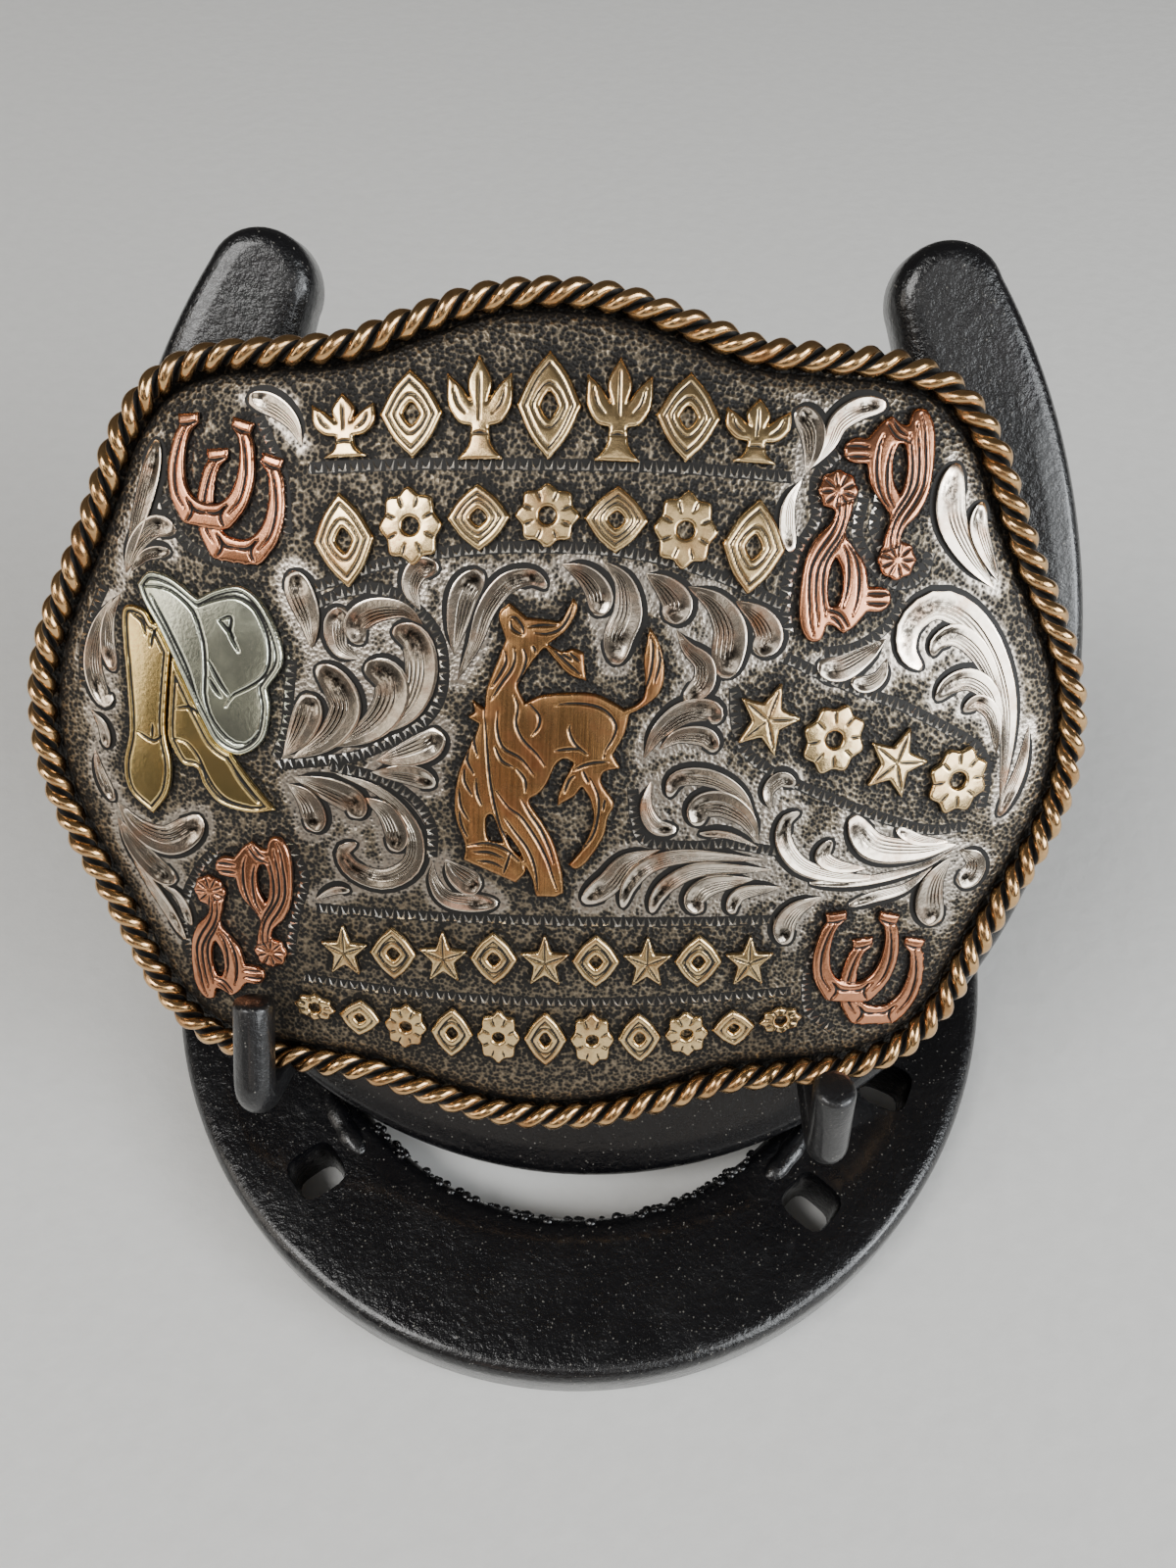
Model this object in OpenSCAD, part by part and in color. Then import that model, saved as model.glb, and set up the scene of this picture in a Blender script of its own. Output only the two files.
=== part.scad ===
// Western trophy buckle on a plain stand of two horseshoes.
// X runs to the viewer's right, Y away from the viewer, Z up from the table.

/* [Buckle] */
// Radius of the sphere that the domed face follows
dome_r = 164; // [140:1:200]
// Thickness of the plate under the rope edge
plate_t = 2.0; // [1.6:0.1:3]
// How far the middle of the rope edge stands above the plate's face
rope_lift = 0.4; // [0.2:0.1:0.8]
// Turn of the buckle in its own plane, because its two pegs sit at unequal heights
buckle_turn = 2; // [0:0.5:4]

/* [Rope edge] */
// Radius of the two twisted wires together
rope_r = 1.55; // [1.3:0.05:1.8]
// Full twists round the whole edge, two lobes to each
rope_twists = 55; // [40:1:60]

/* [Overlays] */
// How far the soldered figures and ornaments stand above the plate's face
overlay_t = 0.75; // [0.5:0.05:1]
// Gap under each figure, where the solder is
solder_gap = 0.03; // [0.02:0.01:0.1]

/* [Stand] */
// Half of each horseshoe's width
shoe_half_w = 56.3; // [50:0.5:62]
// Length of each horseshoe, toe to heel
shoe_len = 112; // [104:1:120]
// Thickness of the horseshoe bar
shoe_t = 8; // [6:0.5:10]
// Width of the bar at the toe
shoe_web = 19; // [16:0.5:22]
// Lean of the standing shoe, back from upright, in degrees
shoe_lean = 40; // [36:1:44]
// Toe of the standing shoe, back from the front of the lying one
standing_y = 24; // [22:0.5:26]
// Diameter of the two bent pegs
peg_d = 4.6; // [3.5:0.1:5]

/* [Back hardware] */
// Thickness of the wire in the belt loop
loop_wire = 2.8; // [2:0.1:3.5]
// Inside height of the belt loop, for a 38 mm belt
loop_height = 39; // [36:1:42]

/* [Hidden] */
$fn = 48;
sphere_fn = 200;
tiny = 0.01;
// Middle of the rope edge in the standing shoe's own plane: across, up from its toe, out from its face
buckle_at = [-3.6, 60.3, 18.6];
// The origin is the middle of the whole thing's outline on the table
middle_x = -2.4;
middle_y = shoe_len / 2;
standing_z = shoe_t * sin(shoe_lean) + 0.2;

// One quarter of the rope's middle line, from the top of the face round to its right tip
edge_quarter = [
    [0, 44.4], [7, 43.7], [14, 41.4], [20.5, 39.2], [28, 38.6], [35, 38], [40.6, 35.6],
    [44.6, 30.6], [46.9, 25], [49.6, 18.9], [52.9, 12.6], [55.2, 6.6], [56, 0]
];
edge_steps = 3;
rope_rings = rope_twists * 8;
rope_sides = 6;
// The two strands side by side make the section oval: the narrow way is this part of the wide way
rope_waist = 0.72;
seat_gap = 0.1;
panel_in = rope_r + seat_gap;
ledge_out = 0.8;
face_r = dome_r - rope_lift;
ledge_r = dome_r - rope_r - seat_gap;
back_r = ledge_r - plate_t / 2;
overlay_lo = face_r + solder_gap;
overlay_hi = face_r + overlay_t;

// A figure's outline goes through these points: a 1 after a point makes it a sharp corner
RIDER = [
    [-4.7, 13.6], [-3.6, 14.8, 1], [-1.9, 13.4, 1], [0.3, 13.2], [1.4, 13.1], [2.1, 14.2],
    [2.7, 15.5, 1], [3.1, 14.4], [2.5, 12.9], [1.6, 11.8], [0.2, 10.8, 1], [1.6, 10.1], [2.8, 10.4],
    [3.8, 10, 1], [3.9, 8.8], [4.1, 7.2, 1], [2.4, 7.8], [1.1, 9.1], [-0.1, 10.5, 1],
    [-1.4, 8.9], [-2.7, 6.9], [-2.6, 6], [-2, 4.9, 1], [-0.3, 5.7], [2.5, 6], [5, 5.9],
    [6.8, 5.1], [8, 4.4, 1], [9.3, 5], [10, 6.3], [9.8, 9.6], [10.3, 12.7, 1], [11.3, 11],
    [11.9, 8.2], [11.4, 6], [9.8, 4.6], [8.5, 3.9, 1], [8, 1.8], [6.9, -0.3, 1], [7.7, -1.7, 1],
    [6.1, -2.1], [5.8, -3.3], [7.1, -5.4], [6.5, -7], [6.1, -9], [4.6, -11.6], [3.3, -12.7],
    [2.5, -12.2, 1], [4, -10.2], [5, -7.5], [4.7, -5.2], [3.8, -3.7, 1], [3.1, -4.7, 1],
    [1.3, -5.8, 1], [1.5, -4.3], [2.9, -1.2, 1], [2, -0.8], [1.1, -1.5], [0.2, -3.5],
    [-0.6, -4.5], [-1.6, -5.4], [-0.4, -7.4], [0.9, -9.8], [1.8, -13], [2, -15.4, 1],
    [1.2, -15.9, 1], [-0.9, -15.9, 1], [-1.3, -14], [-2.1, -12.2, 1], [-2, -13.2], [-3, -14.4, 1],
    [-5.5, -13.3], [-8.5, -12, 1], [-8.3, -10.3], [-9.3, -6.8], [-8.9, -2.8], [-7.7, 0.2],
    [-6.7, 2.6, 1], [-7.9, 3.3, 1], [-7.1, 3.9, 1], [-7.4, 5.1, 1], [-6.1, 4.2, 1], [-5.9, 6.2],
    [-5, 8.6], [-4, 11.2, 1]
];
RIDER_GAPS = [
    [[-6, -7.3], [-5.3, -7.1], [-4.3, -9.9, 1], [-5.6, -9.9], [-6, -9]],
    [[-4.1, -8.7, 1], [-2.9, -10.3], [-2.2, -11.8, 1], [-3.4, -10.6]]
];
HAT = [
    [-43.1, 15.5, 1], [-41.6, 16.8], [-39, 16.2], [-36.2, 14.3, 1], [-34, 15.3], [-31.4, 15.7],
    [-29.2, 14.2], [-27.5, 11], [-27.1, 8], [-28.9, 5.3, 1], [-28.7, 3], [-29.6, -0.2],
    [-32.2, -1.9], [-34.8, -0.9], [-36.4, 1.8], [-38.2, 5.6], [-40.4, 10.2], [-42.4, 13.6]
];
BOOT_LEFT = [
    [-45.1, 11.5], [-44.4, 13.2], [-42.4, 12.8], [-41.5, 11.5, 1], [-40.6, 11.6, 1],
    [-39.5, 9.2, 1], [-40.2, 4.5], [-40.7, 0], [-40.3, -3.6], [-41, -6.8], [-43, -9.3, 1],
    [-45.6, -7], [-46, -3.8], [-45, 0], [-44.9, 5]
];
BOOT_RIGHT = [
    [-39.3, 8.9, 1], [-39.9, 4.5], [-40.4, 0], [-40, -1.6], [-38.9, -3.4], [-37.3, -3.8],
    [-36.6, -5.6], [-34.8, -7.5], [-31.5, -8.2], [-28.6, -7.7, 1], [-31, -4.9], [-33.4, -1.6, 1],
    [-35.5, 1.5], [-37.6, 5.4]
];
// One arm of a figure's horseshoe, from the middle of its toe out to the heel and back inside
SHOE_ARM = [
    [0, 0], [2.3, 0.1], [3.2, 0.9, 1], [4.3, 2.8], [4.8, 5.6], [4.4, 8.6], [3.9, 9.7, 1],
    [4.2, 10.8, 1], [1.9, 11.2, 1], [1.8, 10.2, 1], [2.7, 9], [3, 6.8], [2.6, 4.3], [1.5, 2.8],
    [0, 2.4]
];
SPUR = [
    [28.6, 24.6, 1], [28.1, 23], [26.6, 21.4], [25.6, 19.2], [25.2, 16.2], [25.3, 13.2],
    [26.2, 11.4], [27.5, 11.4], [28.1, 12.9, 1], [28.9, 12.7], [29.8, 12, 1], [30.9, 12.7],
    [32.2, 14.2, 1], [33.6, 14.2], [34.5, 15], [34.5, 16], [33.7, 16.6], [32.2, 16.7, 1],
    [31.7, 18.9], [30.3, 20.7], [29.6, 22], [30.1, 23.8], [30.3, 25.2, 1]
];
SPUR_GAP = [[28.7, 19.6, 1], [29.4, 18.1], [29.5, 16.1], [29, 14.8, 1], [28.4, 14.8], [28, 16.4], [28.2, 18.3]];
SPUR_ROWEL = [28.7, 26];
SPUR_ROWEL_R = 1.95;
SPUR_MIDDLE = [29.4, 19.2];
// Each spur: name, middle across, middle up, turn, scale
SPURS = [
    ["spur_upper_left", 29.4, 19.2, 0, 1],
    ["spur_upper_right", 34.3, 26.1, 180, 1],
    ["spur_lower_left", -36.4, -24.2, 0, 0.94],
    ["spur_lower_right", -31.2, -18.2, 180, 0.94]
];
// Each pair of horseshoes: name, toe of the front one across and up, turn
SHOE_PAIRS = [
    ["horseshoes_upper", -35.1, 21.4, -6],
    ["horseshoes_lower", 33.4, -29.2, -4]
];
SECOND_SHOE = [3.5, -3.1];

// Gilt ornaments in four rows and one short slanting row: kind, across, up, turn, width, height
function arch_row() = [for (i = [-3 : 3]) let (h = 10.4 - 0.46 * i * i)
    [i % 2 == 0 ? "lozenge" : "fleur", 6.8 * i, 28.5 + h / 2, -1.2 * i, 6.4, h]];
function under_row() = [for (i = [-3 : 3]) let (h = 6.2 + 0.36 * i * i)
    [i % 2 == 0 ? "concho" : "lozenge", 6.8 * i, 26.4 - 0.13 * i * i - h / 2, -2 * i, 6.4, h]];
function level_row() = [for (i = [-4 : 4])
    [i % 2 == 0 ? "star" : "lozenge", 5.5 * i, -23.5, 0, 5.2, 6.4]];
function hem_row() = [for (i = [-5 : 5]) let (h = 7.2 - 0.15 * i * i)
    [i % 2 == 0 ? "lozenge" : "concho", 5.2 * i, -37.2 + 0.17 * i * i + h / 2, 1.6 * i, 4.8, h]];
function side_row() = [for (i = [0 : 3])
    [i % 2 == 0 ? "star" : "concho", 22.6 + 6.9 * i, 3.6 - 2.4 * i, -19, 6.6, 7.6]];
ROWS = [["arch", arch_row()], ["under", under_row()], ["level", level_row()],
        ["hem", hem_row()], ["side", side_row()]];
ORNAMENTS = [for (row = ROWS) for (i = [0 : len(row[1]) - 1])
    concat([str(row[0], "_ornament_", i + 1)], row[1][i])];

// A closed curve through the points, with a tangent at each one that runs between its neighbours
function curve(points, steps = 3) = [
    for (i = [0 : len(points) - 1])
        let (n = len(points),
             before = points[(i + n - 1) % n],
             from = points[i],
             to = points[(i + 1) % n],
             after = points[(i + 2) % n],
             leave = from[2] == 1 ? flat(to) - flat(from) : (flat(to) - flat(before)) / 2,
             arrive = to[2] == 1 ? flat(to) - flat(from) : (flat(after) - flat(from)) / 2,
             straight = from[2] == 1 && to[2] == 1)
        for (k = [0 : (straight ? 0 : steps - 1)])
            let (t = k / steps)
            flat(from) * (2 * t * t * t - 3 * t * t + 1) + leave * (t * t * t - 2 * t * t + t)
            + flat(to) * (3 * t * t - 2 * t * t * t) + arrive * (t * t * t - t * t)
];
function flat(p) = [p[0], p[1]];

// The whole edge line: the quarter mirrored to the right, bottom and left, clockwise from the top
edge_points = let (q = edge_quarter, last = len(edge_quarter) - 1) concat(
    [for (i = [0 : last]) q[i]],
    [for (i = [last - 1 : -1 : 0]) [q[i][0], -q[i][1]]],
    [for (i = [1 : last]) [-q[i][0], -q[i][1]]],
    [for (i = [last - 1 : -1 : 1]) [-q[i][0], q[i][1]]]
);
edge_line = curve(edge_points, edge_steps);
// How far along the line each of its points lies, and the line's x and y against that
edge_run = [for (i = 0, s = 0; i <= len(edge_line);
    s = s + norm(edge_line[(i + 1) % len(edge_line)] - edge_line[i % len(edge_line)]), i = i + 1) s];
edge_len = edge_run[len(edge_line)];
edge_x = [for (i = [0 : len(edge_line)]) [edge_run[i], edge_line[i % len(edge_line)][0]]];
edge_y = [for (i = [0 : len(edge_line)]) [edge_run[i], edge_line[i % len(edge_line)][1]]];
function edge_at(s) = let (w = (s % edge_len + edge_len) % edge_len)
    on_dome(lookup(w, edge_x), lookup(w, edge_y));
function on_dome(x, y) = [x, y, sqrt(dome_r * dome_r - x * x - y * y) - dome_r];

// Half of a horseshoe's outer and inner edges: an ellipse round the toe, longer ones up the branch
toe_deep = 1.1 * shoe_half_w;
branch_deep = 1.27 * shoe_half_w;
inner_half_w = shoe_half_w - shoe_web;
inner_branch = 1.44 * shoe_half_w;
function shoe_side(half_w, toe, deep, back) = concat(
    [for (a = [6 : 6 : 90]) [half_w * sin(a), toe_deep - toe * cos(a)]],
    [for (k = [1 : 8]) let (y = toe_deep + k * (back - toe_deep) / 8)
        [half_w * sqrt(1 - pow((y - toe_deep) / deep, 2)), y]]
);
// Each branch ends in a half circle between its two edges, square to the way the branch leans in
heel_r = 6.5;
heel_skew = 2.6;
// The right heel of the standing shoe is this much longer, and a little fuller inside
heel_longer = 1.8;
function shoe_half(longer) = let (
    back = shoe_len - heel_r + longer,
    outer = shoe_side(shoe_half_w, toe_deep, branch_deep, back + heel_skew),
    inner = shoe_side(inner_half_w, toe_deep - shoe_web, inner_branch - 3.2 * longer, back - heel_skew),
    middle = (outer[len(outer) - 1] + inner[len(inner) - 1]) / 2,
    half = outer[len(outer) - 1] - middle,
    heel = [for (a = [20 : 20 : 160]) middle + half * cos(a) + [-half[1], half[0]] * sin(a)])
    concat([[0, 0]], outer, heel, [for (i = [len(inner) - 1 : -1 : 0]) inner[i]], [[0, shoe_web]]);
function shoe_outline(longer) = let (right = shoe_half(longer), left = shoe_half(0))
    concat(right, [for (i = [len(left) - 2 : -1 : 1]) [-left[i][0], left[i][1]]]);
nail_size = [3.9, 3.8];
nail_dish = 7.4;
dish_deep = 2.6;
// The nail holes of one branch: across, up from the toe, turn
NAILS = [[31, 22.4, -40], [41.4, 38.3, -22], [46.2, 56, -8]];

module nail_holes() {
    for (side = [-1, 1]) for (nail = NAILS)
        translate([side * nail[0], nail[1], 0]) rotate([0, 0, side * nail[2]]) {
            translate([-nail_size[0] / 2, -nail_size[1] / 2, -1])
                cube([nail_size[0], nail_size[1], shoe_t + 2]);
            translate([-nail_dish / 2, -nail_dish / 2, shoe_t - dish_deep])
                cube([nail_dish, nail_dish, shoe_t]);
        }
}

module horseshoe(longer = 0) {
    difference() {
        linear_extrude(shoe_t) polygon(shoe_outline(longer));
        nail_holes();
    }
}

// Everything that leans back with the standing shoe: Z is out of that shoe's face
module leaning() {
    translate([0, standing_y, standing_z]) rotate([90 - shoe_lean, 0, 0]) children();
}

// A rod out of the shoe's face that turns up in front of the rope edge
peg_bend = 3;
module peg(across, up, dip, reach, rise, turn) {
    translate([across, up, 0]) rotate([dip, 0, turn]) {
        translate([0, 0, -3]) cylinder(d = peg_d, h = reach - peg_bend + 3);
        translate([0, peg_bend, reach - peg_bend]) rotate([0, -90, 0]) rotate([0, 0, -90])
            rotate_extrude(angle = 90) translate([peg_bend, 0]) circle(d = peg_d);
        translate([0, peg_bend, reach]) rotate([-90, 0, 0]) cylinder(d = peg_d, h = rise - peg_bend);
    }
}
// The pegs: across, up from the toe, dip towards the table, length out, length up, turn inwards
LEFT_PEG = [-34.9, 16.85, 0, 15.15, 12.6, 0];
RIGHT_PEG = [28.7, 24.25, 31.6, 17.85, 14.2, 6];

// Weld beads in the corner where the standing shoe's toe drops inside the lying shoe
weld_r = 2.2;
WELDS = [[27.5, 25.6], [30, 28.2]];

module stand() color([0.06, 0.06, 0.07]) {
    horseshoe();
    for (side = [-1, 1]) for (bead = WELDS)
        translate([side * bead[0], bead[1], shoe_t]) sphere(weld_r);
    leaning() {
        translate([0, 0, -shoe_t]) horseshoe(heel_longer);
        peg(LEFT_PEG[0], LEFT_PEG[1], LEFT_PEG[2], LEFT_PEG[3], LEFT_PEG[4], LEFT_PEG[5]);
        peg(RIGHT_PEG[0], RIGHT_PEG[1], RIGHT_PEG[2], RIGHT_PEG[3], RIGHT_PEG[4], RIGHT_PEG[5]);
    }
}

// Everything on the buckle: X across its face, Y up its face, Z out of it, middle of the dome at zero
module buckle() {
    leaning() translate(buckle_at) rotate([0, 0, buckle_turn]) children();
}

// A ball about the dome's own middle, turned so that its poles lie clear of the face
module ball(r) {
    translate([0, 0, -dome_r]) rotate([90, 0, 0]) sphere(r, $fn = sphere_fn);
}

// A flat outline made solid between two balls, so that it follows the dome
module domed(lo, hi) {
    intersection() {
        translate([0, 0, -30]) linear_extrude(40) children();
        difference() {
            ball(hi);
            ball(lo);
        }
    }
}

module plate() color([0.72, 0.72, 0.7]) buckle() {
    domed(back_r, face_r) offset(delta = -panel_in) polygon(edge_line);
    domed(back_r, ledge_r) offset(delta = ledge_out) polygon(edge_line);
}

// The twisted pair of wires: an oval section that turns steadily as it follows the edge line
module rope_edge() color([0.68, 0.48, 0.27]) buckle() {
    step = edge_len / rope_rings;
    rings = [for (i = [0 : rope_rings - 1])
        let (s = i * step, at = edge_at(s), ahead = edge_at(s + step) - edge_at(s - step),
             along = ahead / norm(ahead),
             out_raw = at + [0, 0, dome_r], out = out_raw / norm(out_raw), side = cross(along, out),
             twist = 360 * rope_twists * i / rope_rings)
        for (k = [0 : rope_sides - 1])
            let (a = 360 * k / rope_sides,
                 r = rope_r * (k % (rope_sides / 2) == 0 ? 1 : rope_waist))
            at + r * (cos(a + twist) * side + sin(a + twist) * out)];
    faces = [for (i = [0 : rope_rings - 1]) for (k = [0 : rope_sides - 1])
        let (j = (i + 1) % rope_rings, m = (k + 1) % rope_sides,
             a = i * rope_sides + k, b = i * rope_sides + m,
             c = j * rope_sides + m, d = j * rope_sides + k)
        for (triangle = [[a, d, b], [b, d, c]]) triangle];
    polyhedron(rings, faces, convexity = 10);
}

module figure(outline, gaps = []) {
    domed(overlay_lo, overlay_hi) difference() {
        polygon(curve(outline));
        for (gap = gaps) polygon(curve(gap));
    }
}

module bronc_rider() color([0.6, 0.42, 0.22]) buckle() figure(RIDER, RIDER_GAPS);

module hat() color([0.7, 0.74, 0.64]) buckle() figure(HAT);

// A boot stops short of the hat that hangs over it
module boot(outline) {
    domed(overlay_lo, overlay_hi) difference() {
        polygon(curve(outline));
        offset(delta = 0.12) polygon(curve(HAT));
    }
}

module boot_left() color([0.78, 0.62, 0.34]) buckle() boot(BOOT_LEFT);

// The right boot also stops short of the left one
module boot_right() color([0.78, 0.62, 0.34]) buckle() domed(overlay_lo, overlay_hi) difference() {
    polygon(curve(BOOT_RIGHT));
    offset(delta = 0.12) polygon(curve(HAT));
    offset(delta = 0.12) polygon(curve(BOOT_LEFT));
}

module small_shoe() {
    other_arm = [for (i = [len(SHOE_ARM) - 2 : -1 : 1]) [-SHOE_ARM[i][0], SHOE_ARM[i][1], SHOE_ARM[i][2]]];
    polygon(curve(concat(SHOE_ARM, other_arm)));
}

// Two horseshoes cut as one stamped piece, the second lower and to the right
module horseshoe_pair(pair) color([0.8, 0.5, 0.38]) buckle() domed(overlay_lo, overlay_hi)
    translate([pair[1], pair[2]]) rotate(pair[3]) {
        small_shoe();
        translate(SECOND_SHOE) small_shoe();
    }

module spur(row) color([0.8, 0.5, 0.38]) buckle() domed(overlay_lo, overlay_hi)
    translate([row[1], row[2]]) rotate(row[3]) scale(row[4]) translate(-SPUR_MIDDLE) difference() {
        union() {
            polygon(curve(SPUR));
            translate(SPUR_ROWEL) circle(SPUR_ROWEL_R, $fn = 24);
        }
        polygon(curve(SPUR_GAP));
    }

// The ornaments are drawn one unit wide and high, then stretched to their size
function star_points(w, h) = [for (k = [0 : 9]) let (r = k % 2 == 0 ? 0.54 : 0.25)
    [w * r * sin(36 * k), h * (r * cos(36 * k) - 0.04), 1]];
function lozenge_points(w, h) = [for (k = [0 : 7]) k % 2 == 0
    ? [w / 2 * sin(45 * k), h / 2 * cos(45 * k), 1]
    : [w * 0.4 * sin(45 * k), h * 0.4 * cos(45 * k)]];
function concho_points(w, h) = [for (k = [0 : 15]) let (r = k % 2 == 0 ? 0.5 : 0.42)
    k % 2 == 0 ? [w * r * sin(22.5 * k), h * r * cos(22.5 * k)]
               : [w * r * sin(22.5 * k), h * r * cos(22.5 * k), 1]];
FLEUR_SIDE = [
    [0, 0.5, 1], [0.19, 0.25], [0.12, 0.04, 1], [0.28, 0.2], [0.5, 0.33, 1], [0.5, 0.04],
    [0.34, -0.14], [0.14, -0.18, 1], [0.18, -0.35], [0.36, -0.5, 1]
];
function fleur_points(w, h) = let (last = len(FLEUR_SIDE) - 1) concat(
    [for (p = FLEUR_SIDE) [w * p[0], h * p[1], p[2]]],
    [for (i = [last : -1 : 1]) let (p = FLEUR_SIDE[i]) [-w * p[0], h * p[1], p[2]]]
);
pierced = 0.26;

module ornament_flat(kind, w, h) {
    difference() {
        polygon(curve(kind == "star" ? star_points(w, h)
            : kind == "lozenge" ? lozenge_points(w, h)
            : kind == "concho" ? concho_points(w, h)
            : fleur_points(w, h)));
        if (kind == "lozenge") polygon([for (p = lozenge_points(w * pierced, h * pierced)) flat(p)]);
        if (kind == "concho") circle(d = w * pierced, $fn = 24);
    }
}

module ornament(row) color([0.84, 0.66, 0.38]) buckle() domed(overlay_lo, overlay_hi)
    translate([row[2], row[3]]) rotate(row[4]) ornament_flat(row[1], row[5], row[6]);

// Both back pieces stand on a thin foot that follows the plate's back, and reach to the shoe's face
foot_hi = back_r - 0.05;
foot_lo = foot_hi - 0.9;
foot_sink = 0.3;
rest_gap = 0.3;
loop_across = -40;
loop_foot_w = 7;
wire_r = loop_wire / 2;
loop_bend = 3;
loop_arm = (loop_height + loop_wire) / 2;
bar_out = buckle_at[2] - rest_gap - wire_r;

// A staple of round wire across the left end, which the belt goes through
module belt_loop() color([0.62, 0.6, 0.55]) buckle() {
    domed(foot_lo, foot_hi) translate([loop_across, 0])
        square([loop_foot_w, 2 * loop_arm + loop_foot_w], center = true);
    intersection() {
        ball(foot_hi - foot_sink);
        for (side = [-1, 1]) translate([loop_across, side * loop_arm, -bar_out + loop_bend])
            cylinder(r = wire_r, h = bar_out);
    }
    for (side = [-1, 1]) translate([loop_across, side * (loop_arm - loop_bend), -bar_out + loop_bend])
        rotate([0, 90, 0]) rotate([0, 0, side > 0 ? 0 : -90])
            rotate_extrude(angle = 90) translate([loop_bend, 0]) circle(wire_r);
    translate([loop_across, loop_arm - loop_bend, -bar_out]) rotate([90, 0, 0])
        cylinder(r = wire_r, h = 2 * (loop_arm - loop_bend));
}

prong_across = 42;
prong_r = 1.6;
prong_foot_r = 4.5;
prong_hook = 5;
prong_out = buckle_at[2] - rest_gap - prong_r;

// The hook at the right end that goes into one of the belt's holes
module back_prong() color([0.62, 0.6, 0.55]) buckle() {
    domed(foot_lo, foot_hi) translate([prong_across, 0]) circle(prong_foot_r);
    intersection() {
        ball(foot_hi - foot_sink);
        translate([prong_across, 0, -prong_out]) cylinder(r = prong_r, h = prong_out);
    }
    translate([prong_across, 0, -prong_out]) sphere(prong_r);
    translate([prong_across, 0, -prong_out]) rotate([0, 90, 0]) cylinder(r = prong_r, h = prong_hook);
    translate([prong_across + prong_hook, 0, -prong_out]) sphere(prong_r);
}

module placed() {
    translate([-middle_x, -middle_y, 0]) children();
}

placed() stand();
placed() plate();
placed() rope_edge();
placed() bronc_rider();
placed() hat();
placed() boot_left();
placed() boot_right();
placed() belt_loop();
placed() back_prong();
for (pair = SHOE_PAIRS) placed() horseshoe_pair(pair);
for (row = SPURS) placed() spur(row);
for (row = ORNAMENTS) placed() ornament(row);
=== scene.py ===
"""Western trophy buckle resting on two pegs of a stand welded from two horseshoes."""
import math
import bmesh
import bpy
import numpy as np
from mathutils import Matrix, Vector


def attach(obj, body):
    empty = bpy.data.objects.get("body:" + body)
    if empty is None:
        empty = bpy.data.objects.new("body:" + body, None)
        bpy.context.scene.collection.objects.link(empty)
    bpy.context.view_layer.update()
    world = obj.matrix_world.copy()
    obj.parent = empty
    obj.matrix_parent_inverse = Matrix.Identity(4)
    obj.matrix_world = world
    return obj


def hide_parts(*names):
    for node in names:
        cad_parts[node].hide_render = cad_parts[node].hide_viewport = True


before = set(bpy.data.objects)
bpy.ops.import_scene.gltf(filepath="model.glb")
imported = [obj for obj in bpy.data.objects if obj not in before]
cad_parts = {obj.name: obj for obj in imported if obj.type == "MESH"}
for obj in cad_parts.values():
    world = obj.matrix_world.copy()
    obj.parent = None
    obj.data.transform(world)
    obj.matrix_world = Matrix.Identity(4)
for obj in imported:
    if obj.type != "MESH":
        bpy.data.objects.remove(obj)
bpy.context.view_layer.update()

MM = 0.001
# How many points are measured against a path at once
BLOCK = 2048
# The standing shoe leans back from upright, and the buckle turns a little in that plane
LEAN = math.radians(40)
TURN = math.radians(2)
# The domed face follows a sphere through the middle of the rope edge, a little above the plate
DOME_R = 164.0
FACE_R = DOME_R - 0.4
# Middle of the dome in the standing shoe's frame: across, up from the toe, out from its face
BUCKLE_AT = np.array([-3.6, 60.3, 18.6])
STANDING_Y = 24.0
SHOE_T = 8.0
STANDING_Z = SHOE_T * math.sin(LEAN) + 0.2
# From the stand's own middle to the middle of the whole outline
SHIFT = np.array([2.4, -56.0, 0.0])


# Places

def stood(points):
    """Millimetres in the standing shoe's frame (across, up its face, out of it) to metres in the room:
    back by up*sin(lean) - out*cos(lean), and up by up*cos(lean) + out*sin(lean)."""
    x, y, z = np.asarray(points, float).T
    back = STANDING_Y + y * math.sin(LEAN) - z * math.cos(LEAN)
    rise = STANDING_Z + y * math.cos(LEAN) + z * math.sin(LEAN)
    return (np.stack([x, back, rise], 1) + SHIFT) * MM


def laid(points):
    """Millimetres on the table, from the lying shoe's toe, to metres in the room."""
    return (np.asarray(points, float) + SHIFT) * MM


def on_buckle(points):
    """Millimetres on the buckle (across, up, out) to metres: turned in its plane, then stood on its seat."""
    x, y, z = np.asarray(points, float).T
    c, s = math.cos(TURN), math.sin(TURN)
    return stood(np.stack([x * c - y * s, x * s + y * c, z], 1) + BUCKLE_AT)


def on_face(flat, height):
    """A flat place and a height over the face: out = sqrt((face radius + height)^2 - x^2 - y^2) - dome."""
    x, y = np.asarray(flat, float).T
    out = np.sqrt((FACE_R + height) ** 2 - x * x - y * y) - DOME_R
    return on_buckle(np.stack([x, y, out], 1))


# Curves

def unit(vectors):
    """The same vectors with length 1."""
    return vectors / np.maximum(np.linalg.norm(vectors, axis=-1, keepdims=True), 1e-9)


def round_steps(ring):
    """Unit vectors along a closed ring, at each point from the one before it to the one after."""
    return unit(np.roll(ring, -1, 0) - np.roll(ring, 1, 0))


def quarter_left(along):
    """Flat vectors turned a quarter turn to the left."""
    return np.stack([-along[:, 1], along[:, 0]], 1)


def at_lengths(line, parts):
    """Places on a line at the given parts (0 to 1) of its length."""
    run = np.concatenate([[0], np.cumsum(np.linalg.norm(np.diff(line, axis=0), axis=1))])
    return np.stack([np.interp(run[-1] * parts, run, line[:, k]) for k in range(line.shape[1])], 1)


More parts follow.
